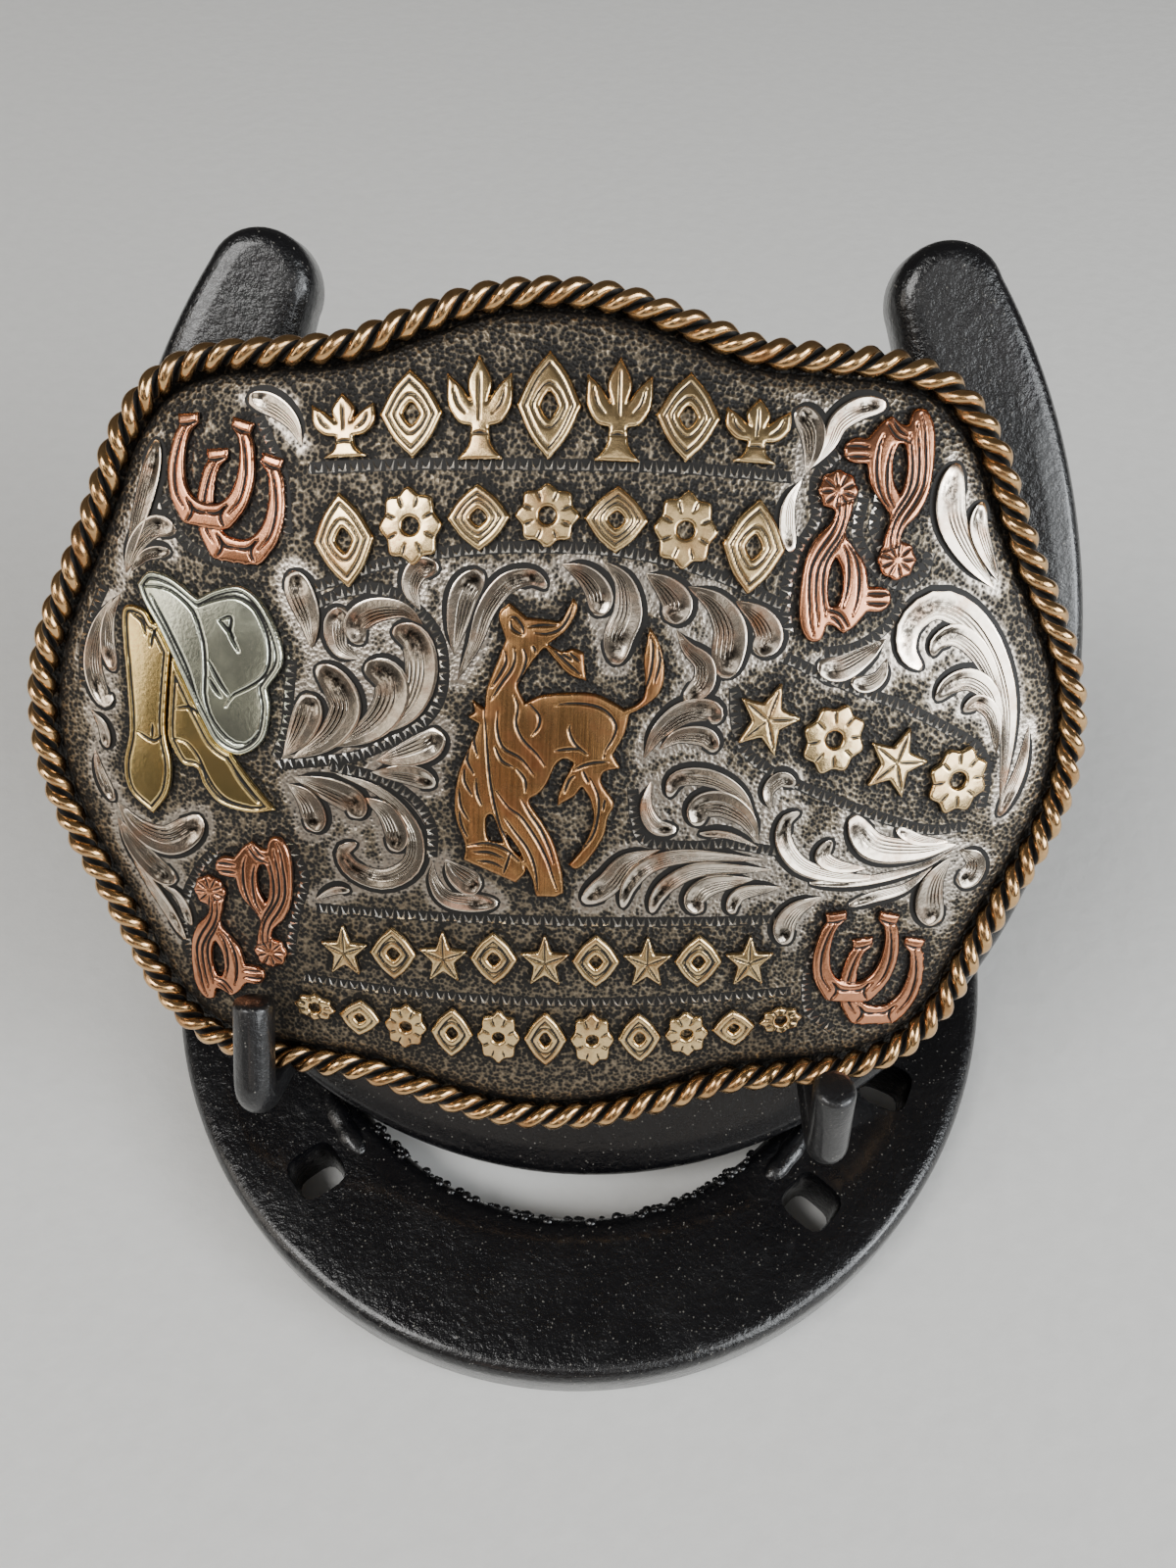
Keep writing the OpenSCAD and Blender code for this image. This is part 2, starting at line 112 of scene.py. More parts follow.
def hermite(a, leave, b, arrive, steps):
    """Cubics from each a to its b: a*(2t^3 - 3t^2 + 1) + leave*(t^3 - 2t^2 + t) + b*(3t^2 - 2t^3)
    + arrive*(t^3 - t^2), t from 0 up to 1, as one line of points."""
    t = np.linspace(0, 1, steps, endpoint=False)[None, :, None]
    line = (a[:, None] * (2 * t**3 - 3 * t**2 + 1) + leave[:, None] * (t**3 - 2 * t**2 + t)
            + b[:, None] * (3 * t**2 - 2 * t**3) + arrive[:, None] * (t**3 - t**2))
    return line.reshape(-1, a.shape[1])


def closed_curve(points, steps=6):
    """A smooth curve round the points: each tangent is half the step between its neighbours, and a third
    number after a point makes a sharp corner there."""
    p = np.array([q[:2] for q in points], float)
    sharp = np.array([len(q) > 2 for q in points])[:, None]
    to, before, after = np.roll(p, -1, 0), np.roll(p, 1, 0), np.roll(p, -2, 0)
    leave = np.where(sharp, to - p, (to - before) / 2)
    arrive = np.where(np.roll(sharp, -1, 0), to - p, (after - p) / 2)
    return hermite(p, leave, to, arrive, steps)


def open_curve(points, places):
    """The same curve from the first point to the last: so many places evenly along its length, or at the
    given parts of it."""
    p = np.array(points, float)
    ends = np.vstack([2 * p[0] - p[1], p, 2 * p[-1] - p[-2]])
    a, b, before, after = p[:-1], p[1:], ends[:-3], ends[3:]
    line = np.vstack([hermite(a, (b - before) / 2, b, (after - a) / 2, 16), p[-1]])
    return at_lengths(line, np.linspace(0, 1, places) if np.ndim(places) == 0 else places)


def left_of(path):
    """Unit vectors to the left of an open flat path."""
    return quarter_left(unit(np.gradient(path, axis=0)))


def turned(flat, angle):
    """Flat points turned about the origin by an angle in degrees."""
    c, s = math.cos(math.radians(angle)), math.sin(math.radians(angle))
    x, y = np.asarray(flat, float).T
    return np.stack([x * c - y * s, x * s + y * c], 1)


def mirrored(points):
    """The same outline points on the other side of the middle line, each with its sharp mark."""
    return [(-p[0], *p[1:]) for p in points]


def circle(count):
    """Unit circle of so many points."""
    a = np.linspace(0, 2 * np.pi, count, endpoint=False)
    return np.stack([np.cos(a), np.sin(a)], 1)


def nearest(points, path, closed=True):
    """For each point: how far the path is, the nearest place on it, and how far along that lies (0 to 1)."""
    a = path if closed else path[:-1]
    b = np.roll(path, -1, 0) if closed else path[1:]
    step = b - a
    long2 = (step ** 2).sum(1) + 1e-12
    far, place, along = [], [], []
    for start in range(0, len(points), BLOCK):
        q = points[start:start + BLOCK, None]
        t = np.clip(((q - a) * step).sum(-1) / long2, 0, 1)
        spot = a + t[..., None] * step
        d = ((q - spot) ** 2).sum(-1)
        k = d.argmin(1)
        row = np.arange(len(k))
        far.append(np.sqrt(d[row, k]))
        place.append(spot[row, k])
        along.append((k + t[row, k]) / len(a))
    return np.concatenate(far), np.concatenate(place), np.concatenate(along)


def within(points, path):
    """True where a ray to the right crosses the closed path an odd number of times."""
    a, b = path, np.roll(path, -1, 0)
    out = []
    for start in range(0, len(points), BLOCK):
        x, y = points[start:start + BLOCK, 0:1], points[start:start + BLOCK, 1:2]
        crosses = (a[:, 1] > y) != (b[:, 1] > y)
        at = a[:, 0] + (y - a[:, 1]) * (b[:, 0] - a[:, 0]) / (b[:, 1] - a[:, 1] + 1e-12)
        out.append((crosses & (x < at)).sum(1) % 2 == 1)
    return np.concatenate(out)


# Meshes

def grid_faces(rows, cols, wrap_rows=False, wrap_cols=False, first=0):
    """Quads of a grid of rows by cols points, optionally closed either way."""
    i = np.arange(rows if wrap_rows else rows - 1)[:, None]
    j = np.arange(cols if wrap_cols else cols - 1)[None, :]
    i2, j2 = (i + 1) % rows, (j + 1) % cols
    return np.stack([i * cols + j, i * cols + j2, i2 * cols + j2, i2 * cols + j], -1).reshape(-1, 4) + first


def tube(path, radius, side, other, count):
    """Rings of so many points about a path: path + radius*(cos b * side + sin b * other)."""
    b = circle(count)[None, :, :, None]
    ring = b[:, :, 0] * np.expand_dims(side, -2) + b[:, :, 1] * np.expand_dims(other, -2)
    return path[:, None] + radius[:, None, None] * ring


def add_piece(name, mesh, replaces=()):
    """The object of a finished mesh, on the one body, in place of the CAD nodes that it replaces."""
    piece = bpy.data.objects.new(name, mesh)
    bpy.context.scene.collection.objects.link(piece)
    if replaces:
        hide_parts(*replaces)
    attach(piece, "root")
    return piece


def make_piece(name, points, quads, material, tris=None, replaces=(), marks=None, uv=None, sharp=None):
    """One smooth object at the origin from whole arrays of points and faces. marks is a number at each point
    that the materials read as cut: 1 where the metal is cut and blackened. In some pieces it also carries
    painted shade, as beside the rope, under the leaves and under the ticks."""
    mesh = bpy.data.meshes.new(name)
    loops = quads.reshape(-1)
    sizes = np.full(len(quads), 4)
    if tris is not None and len(tris):
        loops = np.concatenate([loops, tris.reshape(-1)])
        sizes = np.concatenate([sizes, np.full(len(tris), 3)])
    mesh.vertices.add(len(points))
    mesh.vertices.foreach_set("co", np.asarray(points, np.float32).reshape(-1))
    mesh.loops.add(len(loops))
    mesh.loops.foreach_set("vertex_index", loops.astype(np.int32))
    mesh.polygons.add(len(sizes))
    mesh.polygons.foreach_set("loop_start", np.concatenate([[0], np.cumsum(sizes)[:-1]]).astype(np.int32))
    mesh.update(calc_edges=True)
    mesh.validate()
    mesh.shade_smooth()
    if sharp:
        mesh.set_sharp_from_angle(angle=math.radians(sharp))
    if marks is not None:
        mark = mesh.attributes.new("cut", "FLOAT", "POINT")
        mark.data.foreach_set("value", np.asarray(marks, np.float32))
    if uv is not None:
        layer = mesh.uv_layers.new(name="along")
        layer.data.foreach_set("uv", np.asarray(uv, np.float32)[loops].reshape(-1))
    mesh.materials.append(material)
    return add_piece(name, mesh, replaces)


# How far in from its outline a figure has swelled to about two thirds of its crown
CROWN_REACH = 1.2


def relief(name, layers, material, step=0.14, top=0.75, rim=0.3, crown=0.1, drop=0.2):
    """A low cast figure on a square grid. Each layer is (outer loop, holes, lines, contours), the first on
    top. Height = top - rim*(1 - sqrt(1 - (1 - s/rim)^2)) near the edge, s being the distance inside the
    outline, plus a crown, less a V cut along each line. The outermost grid points are moved onto the outline
    itself."""
    loops = [loop for layer in layers for loop in [layer[0]] + list(layer[1])]
    low = np.min([loop.min(0) for loop in loops], 0) - step
    high = np.max([loop.max(0) for loop in loops], 0) + step
    xs = np.arange(low[0], high[0] + step, step)
    ys = np.arange(low[1], high[1] + step, step)
    flat = np.stack(np.meshgrid(xs, ys), -1).reshape(-1, 2)
    inside = np.full(len(flat), -1e9)
    edge = flat.copy()
    depth = []
    for outer, holes, _, _ in layers:
        d, place, _ = nearest(flat, outer)
        s = np.where(within(flat, outer), d, -d)
        for hole in holes:
            dh, ph, _ = nearest(flat, hole)
            sh = np.where(within(flat, hole), -dh, dh)
            place = np.where((sh < s)[:, None], ph, place)
            s = np.minimum(s, sh)
        edge = np.where((s > inside)[:, None], place, edge)
        inside = np.maximum(inside, s)
        depth.append(s)
    quads = grid_faces(len(ys), len(xs))
    quads = quads[inside[quads].mean(1) > 0]
    pairs = np.concatenate([quads[:, [k, (k + 1) % 4]] for k in range(4)])
    key = pairs[:, 0].astype(np.int64) * len(flat) + pairs[:, 1]
    back = pairs[:, 1].astype(np.int64) * len(flat) + pairs[:, 0]
    rim_edges = pairs[~np.isin(key, back)]
    border = np.unique(rim_edges)
    flat[border] = edge[border]
    inside[border] = 0.0
    height = np.zeros(len(flat))
    cut = np.zeros(len(flat))
    done = np.zeros(len(flat), bool)
    for number, ((_, _, lines, contours), s) in enumerate(zip(layers, depth)):
        here = (s >= -0.02) & ~done
        deep_in = np.maximum(s, 0)
        near = np.clip(1 - deep_in / rim, 0, 1)
        h = top - drop * number - rim * (1 - np.sqrt(1 - near ** 2))
        h += crown * (1 - np.exp(-deep_in / CROWN_REACH))
        c = 0.35 * near ** 3
        if number:
            over = np.max(depth[:number], 0)
            c = np.maximum(c, np.clip(1 + over / 0.28, 0, 1))
        for width, deep, path in lines:
            d, _, along = nearest(flat, path, closed=False)
            half = width / 2 * np.clip(np.sin(np.pi * np.clip(along, 0.02, 0.98)), 0, 1) ** 0.45
            g = np.clip(1 - d / half, 0, 1)
            h = h - deep * g
            c = np.maximum(c, np.clip(1.6 * g, 0, 1))
        for at, width, deep in contours:
            g = np.clip(1 - np.abs(s - at) / (width / 2), 0, 1)
            h = h - deep * g
            c = np.maximum(c, np.clip(1.5 * g, 0, 1))
        height = np.where(here, h, height)
        cut = np.where(here, c, cut)
        done |= here
    height[border] = np.where(done[border], height[border], top - rim)
    height[border] = np.minimum(height[border], top - rim)
    used, new = np.unique(quads, return_inverse=True)
    quads = new.reshape(quads.shape)
    lookup = np.zeros(len(flat), int)
    lookup[used] = np.arange(len(used))
    foot = np.zeros(len(flat), int)
    foot[border] = np.arange(len(border)) + len(used)
    a, b = rim_edges.T
    walls = np.stack([lookup[b], lookup[a], foot[a], foot[b]], 1)
    points = np.vstack([on_face(flat[used], height[used]), on_face(flat[border], np.full(len(border), 0.0))])
    marks = np.concatenate([cut[used], np.ones(len(border))])
    return make_piece(name, points, np.vstack([quads, walls]), material, replaces=(name,), marks=marks)


# Shaders

BLACKENED = (0.012, 0.011, 0.01, 1)
SOOT = (0.014, 0.0125, 0.011, 1)
BLACK_PAINT = (0.0035, 0.0035, 0.0045, 1)
# Painted glint: colour of the tiny bright specks on the black paint
GLINT_SPECK = (0.2, 0.19, 0.17, 1)


def new_group(name, inputs, outputs):
    """An empty shader node group with named inputs and outputs."""
    group = bpy.data.node_groups.new(name, "ShaderNodeTree")
    for label, kind, value in inputs:
        socket = group.interface.new_socket(label, in_out="INPUT", socket_type=kind)
        socket.default_value = value
    for label, kind in outputs:
        group.interface.new_socket(label, in_out="OUTPUT", socket_type=kind)
    return group, group.nodes.new("NodeGroupInput"), group.nodes.new("NodeGroupOutput")


def put(tree, kind, **values):
    """One node with its settings, and its input values by socket name or number."""
    node = tree.nodes.new(kind)
    for label, value in values.pop("sockets", {}).items():
        node.inputs[label].default_value = value
    for label, value in values.items():
        setattr(node, label, value)
    return node


def feed(tree, socket, value):
    """Links a socket to the one given, or sets it to the plain value given."""
    if isinstance(value, bpy.types.NodeSocket):
        tree.links.new(value, socket)
    else:
        socket.default_value = value


def mix_colour(tree, factor, a, b, blend="MIX"):
    """Colour a turned into colour b by the factor."""
    node = put(tree, "ShaderNodeMix", data_type="RGBA", blend_type=blend)
    for number, value in ((0, factor), (6, a), (7, b)):
        feed(tree, node.inputs[number], value)
    return node.outputs[2]


def sum_of(tree, operation, a, b=0.0, clamp=False):
    """One arithmetic step on two values."""
    node = put(tree, "ShaderNodeMath", operation=operation, use_clamp=clamp)
    feed(tree, node.inputs[0], a)
    feed(tree, node.inputs[1], b)
    return node.outputs[0]


def noise(tree, scale, detail, roughness=0.5):
    """A noise texture, not yet placed."""
    return put(tree, "ShaderNodeTexNoise", sockets={"Scale": scale, "Detail": detail, "Roughness": roughness})


def on_piece(tree, *textures):
    """Places textures by the piece's own Object coordinates."""
    place = put(tree, "ShaderNodeTexCoord")
    for texture in textures:
        tree.links.new(place.outputs["Object"], texture.inputs["Vector"])


def bump(tree, height, millimetres, strength, invert=False):
    """Raises the surface by a height, over any bump that the shader already has."""
    normal = tree.nodes["Principled BSDF"].inputs["Normal"]
    node = put(tree, "ShaderNodeBump", sockets={"Distance": millimetres * MM}, invert=invert)
    feed(tree, node.inputs["Strength"], strength)
    tree.links.new(height, node.inputs["Height"])
    if normal.is_linked:
        tree.links.new(normal.links[0].from_socket, node.inputs["Normal"])
    tree.links.new(node.outputs["Normal"], normal)


def new_material(name):
    """A new material, its node tree and its shader."""
    material = bpy.data.materials.new(name)
    material.use_nodes = True
    return material, material.node_tree, material.node_tree.nodes["Principled BSDF"]


def spread(tree, value, low, high, to_low=0.0, to_high=1.0):
    """A value from low to high stretched to run from to_low to to_high, and held at the ends."""
    node = put(tree, "ShaderNodeMapRange", sockets={1: low, 2: high, 3: to_low, 4: to_high})
    tree.links.new(value, node.inputs[0])
    return node.outputs[0]


def antique_group():
    """Old polished metal: tarnish blotches, fine mottling, and black left in the cuts, which in places also
    stands for painted shade.
    """
    group, gin, gout = new_group("antique_metal", [
        ("Metal", "NodeSocketColor", (0.8, 0.6, 0.3, 1)),
        ("Tarnish", "NodeSocketColor", (0.3, 0.15, 0.06, 1)),
        ("Black", "NodeSocketColor", BLACKENED), ("Blotches", "NodeSocketFloat", 0.5),
        ("Polish", "NodeSocketFloat", 0.2)],
        [("Color", "NodeSocketColor"), ("Roughness", "NodeSocketFloat"), ("Metallic", "NodeSocketFloat"),
         ("Height", "NodeSocketFloat")])
    link = group.links.new
    blotch, fine = noise(group, 240.0, 5.0, 0.6), noise(group, 2600.0, 3.0)
    on_piece(group, blotch, fine)
    cut = put(group, "ShaderNodeAttribute", attribute_name="cut")
    patch = spread(group, blotch.outputs["Fac"], 0.48, 0.72)
    patch = sum_of(group, "MULTIPLY", patch, gin.outputs["Blotches"], True)
    colour = mix_colour(group, patch, gin.outputs["Metal"], gin.outputs["Tarnish"])
    speck = spread(group, fine.outputs["Fac"], 0.35, 0.75, 1.04, 0.86)
    colour = mix_colour(group, 1.0, colour, speck, "MULTIPLY")
    rag = sum_of(group, "MULTIPLY", fine.outputs["Fac"], 0.35)
    deep = sum_of(group, "ADD", cut.outputs["Fac"], rag)
    deep = spread(group, deep, 0.45, 0.95)
    colour = mix_colour(group, deep, colour, gin.outputs["Black"])
    rough = sum_of(group, "MULTIPLY_ADD", patch, 0.14)
    link(gin.outputs["Polish"], rough.node.inputs[2])
    rough = sum_of(group, "MAXIMUM", rough, sum_of(group, "MULTIPLY", deep, 0.55))
    metallic = spread(group, deep, 0.3, 1.0, 1.0, 0.35)
    link(colour, gout.inputs["Color"])
    link(rough, gout.inputs["Roughness"])
    link(metallic, gout.inputs["Metallic"])
    link(fine.outputs["Fac"], gout.inputs["Height"])
    return group


ANTIQUE = antique_group()


def metal(name, colour, tarnish, blotches=0.5, polish=0.2, grain=0.02, brushed=False):
    """A polished metal from the antique group, with a little grain, or brushed lines up the buckle."""
    material, tree, shader = new_material(name)
    link = tree.links.new
    old = put(tree, "ShaderNodeGroup", node_tree=ANTIQUE)
    for label, value in (("Metal", (*colour, 1)), ("Tarnish", (*tarnish, 1)), ("Blotches", blotches),
                         ("Polish", polish)):
        old.inputs[label].default_value = value
    for label, socket in (("Color", "Base Color"), ("Roughness", "Roughness"), ("Metallic", "Metallic")):
        link(old.outputs[label], shader.inputs[socket])
    height = old.outputs["Height"]
    if brushed:
        place = put(tree, "ShaderNodeTexCoord")
        turn = put(tree, "ShaderNodeMapping", sockets={"Rotation": (LEAN - math.pi / 2, 0, 0)})
        stretch = put(tree, "ShaderNodeMapping", sockets={"Scale": (1.0, 0.03, 0.03)})
        lines = noise(tree, 5200.0, 2.0)
        link(place.outputs["Object"], turn.inputs["Vector"])
        link(turn.outputs["Vector"], stretch.inputs["Vector"])
        link(stretch.outputs["Vector"], lines.inputs["Vector"])
        height = lines.outputs["Fac"]
        tone = spread(tree, lines.outputs["Fac"], 0.3, 0.7, 0.72, 1.12)
        link(mix_colour(tree, 1.0, old.outputs["Color"], tone, "MULTIPLY"), shader.inputs["Base Color"])
    bump(tree, height, grain, 0.5)
    return material


def leaf_silver():
    """Bright-cut silver, by the leaf's own UV map: fine dark lines run along it on the inside of its bend,
    and its lobe has a sooty hollow. Its strong warm brown blotches are tarnish and painted warm reflection
    together."""
    # Warm brown blotches, strong here: part tarnish, part painted warm reflection
    material = metal("leaf_silver", (0.86, 0.745, 0.61), (0.42, 0.22, 0.12), 0.95, 0.15)
    tree = material.node_tree
    colour = tree.nodes["Principled BSDF"].inputs["Base Color"]
    uv = put(tree, "ShaderNodeUVMap", uv_map="along")
    split = put(tree, "ShaderNodeSeparateXYZ")
    tree.links.new(uv.outputs["UV"], split.inputs[0])
    along, across = split.outputs[0], split.outputs[1]

    def times(a, b):
        return sum_of(tree, "MULTIPLY", a, b)

    def window(value, rise, fall):
        """1 between the end of the rise and the start of the fall, and 0 outside them."""
        return times(spread(tree, value, *rise), spread(tree, value, *reversed(fall)))

    shading = spread(tree, sum_of(tree, "SINE", times(across, 46.0)), -0.1, 0.6)
    lined = times(window(across, (0.04, 0.1), (0.56, 0.66)), window(along, (0.08, 0.2), (0.6, 0.84)))
    shading = times(shading, lined)
    soot = noise(tree, 1300.0, 4.0, 0.7)
    on_piece(tree, soot)
    lobe = times(window(along, (0.58, 0.76), (0.9, 0.98)), window(across, (0.14, 0.34), (0.66, 0.9)))
    lobe = times(lobe, spread(tree, soot.outputs["Fac"], 0.38, 0.56, 0.15, 0.95))
    dark = sum_of(tree, "MAXIMUM", times(shading, 0.9), lobe)
    tree.links.new(mix_colour(tree, dark, colour.links[0].from_socket, SOOT), colour)
    bump(tree, shading, 0.06, 0.8, invert=True)
    return material


def ground_silver():
    """The plate: cut is 1 on the blackened, stippled ground, less where it is bare, and 0 on the plain back.
    Beside the rope it rises above 1 as painted shade of the slope down under the rope."""
    material, tree, shader = new_material("plate_ground")
    link = tree.links.new
    cut = put(tree, "ShaderNodeAttribute", attribute_name="cut")
    stipple = put(tree, "ShaderNodeTexVoronoi", sockets={"Scale": 2300.0, "Randomness": 1.0})
    fine, broad = noise(tree, 1500.0, 4.0, 0.7), noise(tree, 170.0, 3.0)
    on_piece(tree, stipple, fine, broad)
    crumbs = stipple.outputs["Distance"]
    for texture, amount in ((fine, 0.9), (broad, 0.5)):
        crumbs = sum_of(tree, "ADD", crumbs, sum_of(tree, "MULTIPLY", texture.outputs["Fac"], amount))
    bright = sum_of(tree, "SUBTRACT", crumbs, sum_of(tree, "MULTIPLY", cut.outputs["Fac"], 0.62))
    bright = spread(tree, bright, 0.58, 1.12)
    engraved = spread(tree, cut.outputs["Fac"], 0.3, 0.8)
    tone = mix_colour(tree, engraved, (0.55, 0.485, 0.41, 1), (0.34, 0.28, 0.2, 1))
    colour = mix_colour(tree, bright, BLACKENED, tone)
    link(colour, shader.inputs["Base Color"])
    link(spread(tree, bright, 0.0, 1.0, 0.5, 0.28), shader.inputs["Roughness"])
    link(spread(tree, bright, 0.0, 0.6, 0.5, 1.0), shader.inputs["Metallic"])
    bump(tree, crumbs, 0.14, spread(tree, cut.outputs["Fac"], 0.0, 0.5, 0.1, 0.9))
    return material


def black_paint(name, gloss, lump):
    """Gloss black paint over forged steel: broad hammer lumps, orange peel, and fine bright specks painted
    into the colour as glints.
    """
    material, tree, shader = new_material(name)
    link = tree.links.new
    lumps, peel = noise(tree, 150.0, 5.0, 0.6), noise(tree, 1100.0, 3.0, 0.7)
    glint_cells = put(tree, "ShaderNodeTexVoronoi", sockets={"Scale": 1900.0})
    on_piece(tree, lumps, peel, glint_cells)
    # Painted glints: rare tiny bright spots put into the paint's colour
    glint_spot = spread(tree, glint_cells.outputs["Distance"], 0.24, 0.12)
    rare = spread(tree, peel.outputs["Fac"], 0.53, 0.6)
    glint_spot = sum_of(tree, "MULTIPLY", glint_spot, rare, True)
    link(mix_colour(tree, glint_spot, BLACK_PAINT, GLINT_SPECK), shader.inputs["Base Color"])
    rough = spread(tree, lumps.outputs["Fac"], 0.3, 0.7, gloss, gloss + 0.16)
    link(rough, shader.inputs["Roughness"])
    shader.inputs["Coat Weight"].default_value = 0.4
    shader.inputs["Coat Roughness"].default_value = 0.1
    bump(tree, lumps.outputs["Fac"], lump, 0.8)
    bump(tree, peel.outputs["Fac"], 0.24, 0.8)
    return material


GILT = metal("gilt_brass", (0.85, 0.62, 0.32), (0.48, 0.23, 0.09), 0.75, 0.2)
BRONZE = metal("brushed_bronze", (0.51, 0.28, 0.12), (0.36, 0.12, 0.055), 0.75, 0.26, 0.03, brushed=True)
HAT_METAL = metal("green_gold", (0.76, 0.79, 0.64), (0.5, 0.53, 0.38), 0.5, 0.16)
BOOT_METAL = metal("boot_brass", (0.86, 0.64, 0.27), (0.4, 0.24, 0.08), 0.7, 0.17)
COPPER = metal("copper", (0.69, 0.31, 0.17), (0.36, 0.13, 0.065), 0.6, 0.2)
ROPE_METAL = metal("rope_bronze", (0.7, 0.44, 0.21), (0.3, 0.13, 0.05), 0.8, 0.18)
WIRE_METAL = metal("back_wire", (0.6, 0.58, 0.54), (0.3, 0.28, 0.25), 0.4, 0.3)
TICK = metal("tick_silver", (0.62, 0.59, 0.54), (0.25, 0.22, 0.19), 0.6, 0.25)
LEAF = leaf_silver()
GROUND = ground_silver()
PAINT = black_paint("shoe_paint", 0.2, 0.36)
PEG_PAINT = black_paint("peg_paint", 0.34, 0.1)


# The plate

# One quarter of the rope's middle line, from the top of the face round to its right tip
EDGE_QUARTER = [
    (0, 44.4), (7, 43.7), (14, 41.4), (20.5, 39.2), (28, 38.6), (35, 38), (40.6, 35.6),
    (44.6, 30.6), (46.9, 25), (49.6, 18.9), (52.9, 12.6), (55.2, 6.6), (56, 0)]


def edge_line(count):
    """The quarter mirrored all round, clockwise from the top, as count places evenly along its length."""
    q = EDGE_QUARTER
    ring = (q + [(x, -y) for x, y in q[-2::-1]] + [(-x, -y) for x, y in q[1:]]
            + [(-x, y) for x, y in q[-2:0:-1]])
    line = closed_curve(ring, 12)
    return at_lengths(np.vstack([line, line[:1]]), np.linspace(0, 1, count, endpoint=False))


# The panel ends this far inside the rope's middle line, and the plate's back lies this far under the face
PANEL_IN = 1.65
PLATE_BACK = -2.25
# From the panel's edge down to the ledge under the rope, out to the rim and round to the back: each step as
# a place out from the rope's middle line and a height over the face
EDGE_STEPS = [
    (-2.4, -0.12), (-2.0, -0.3), (-1.7, -0.6), (-1.66, -1.25), (0.5, -1.25), (0.8, -1.5), (0.8, -2.0),
    (0.5, PLATE_BACK)]


def plate(leaf_spots, leaf_halves, figure_edges):
    """Rings from the middle out over the face, down the rebate under the rope, and back in under the plate.
    A ring is the edge line scaled by f inside, and the edge line moved out by d near the edge. The ground is
    black close to the figures, grey between them, and bright about the leaves, and a band beside the rope is
    painted shade of the face sloping down under it."""
    ring = edge_line(480)
    out = quarter_left(round_steps(ring))
    seat = ring - PANEL_IN * out
    rows = [(seat * f, 0.0) for f in np.linspace(0.0, 0.96, 90)[1:]]
    rows += [(ring + d * out, h) for d, h in EDGE_STEPS]
    front = len(rows)
    rows += [(seat * f, PLATE_BACK) for f in np.linspace(1.0, 0.0, 30, endpoint=False)]
    flat = np.vstack([r[0] for r in rows] + [np.zeros((2, 2))])
    height = np.concatenate([np.full(len(ring), r[1]) for r in rows] + [np.array([0.0, PLATE_BACK])])
    n, m = len(rows), len(ring)
    to_leaf = spot_distance(flat, leaf_spots, leaf_halves)
    to_figure = spot_distance(flat, figure_edges, 0.0)
    to_rope = spot_distance(flat, ring, 0.0)
    marks = 0.2 + 0.66 * np.clip((to_leaf - 0.5) / 0.9, 0, 1)
    marks = np.maximum(marks, 1.2 * np.clip((1.9 - to_figure) / 1.3, 0, 1))
    # Painted shade: the ground is blackened in a band beside the rope, where the face slopes down under it
    marks = np.maximum(marks, 1.25 * np.clip((4.6 - to_rope) / 2.6, 0, 1))
    marks[front * m:n * m] = 0.0
    marks[-1] = 0.0
    quads = grid_faces(n, m, wrap_cols=True)
    k = np.arange(m)
    middle = np.stack([np.full(m, n * m), (k + 1) % m, k], 1)
    rear = np.stack([np.full(m, n * m + 1), (n - 1) * m + k, (n - 1) * m + (k + 1) % m], 1)
    tris = np.vstack([middle, rear])[:, ::-1]
    return make_piece("engraved_plate", on_face(flat, height), quads[:, ::-1], GROUND,
                      tris=tris, replaces=("plate",), marks=marks, sharp=50)


def spot_distance(flat, spots, halves):
    """Distance from each point to the nearest spot, less that spot's half width."""
    far = []
    for start in range(0, len(flat), BLOCK):
        d = np.sqrt(((flat[start:start + BLOCK, None] - spots[None]) ** 2).sum(-1)) - halves
        far.append(d.min(1))
    return np.concatenate(far)


# The rope edge

ROPE_TURNS = 55
# A strand's middle from the middle of the rope, and half its own section outwards and round
STRAND_OFF = 0.72
STRAND_OUT = 0.84
STRAND_ROUND = 0.95


def rope():
    """Two strands round the edge line: a strand's middle is the line + off*(cos a, sin a) in the plane across
    it, a = turns*2*pi*s + 0 or pi, and its own section is an ellipse that turns with it."""
    steps, sides = ROPE_TURNS * 18, 12
    ring = edge_line(steps)
    z = np.sqrt(DOME_R ** 2 - (ring ** 2).sum(1)) - DOME_R
    line = np.column_stack([ring, z])
    up = unit(line + [0, 0, DOME_R])
    side = np.cross(round_steps(line), up)
    points, quads, marks = [], [], []
    for strand in (0, 1):
        a = 2 * np.pi * ROPE_TURNS * np.arange(steps) / steps + strand * np.pi
        out = np.cos(a)[:, None] * side + np.sin(a)[:, None] * up
        onward = -np.sin(a)[:, None] * side + np.cos(a)[:, None] * up
        skin = tube(line + STRAND_OFF * out, np.ones(steps), STRAND_OUT * out, STRAND_ROUND * onward, sides)
        far = np.linalg.norm(skin - line[:, None], axis=2)
        points.append(skin.reshape(-1, 3))
        marks.append(np.clip((1.27 - far) / 0.35, 0, 1).reshape(-1))
        quads.append(grid_faces(steps, sides, True, True, first=strand * steps * sides))
    return make_piece("twisted_rope", on_buckle(np.vstack(points)), np.vstack(quads)[:, ::-1], ROPE_METAL,
                      replaces=("rope_edge",), marks=np.concatenate(marks))


# Scroll engraving

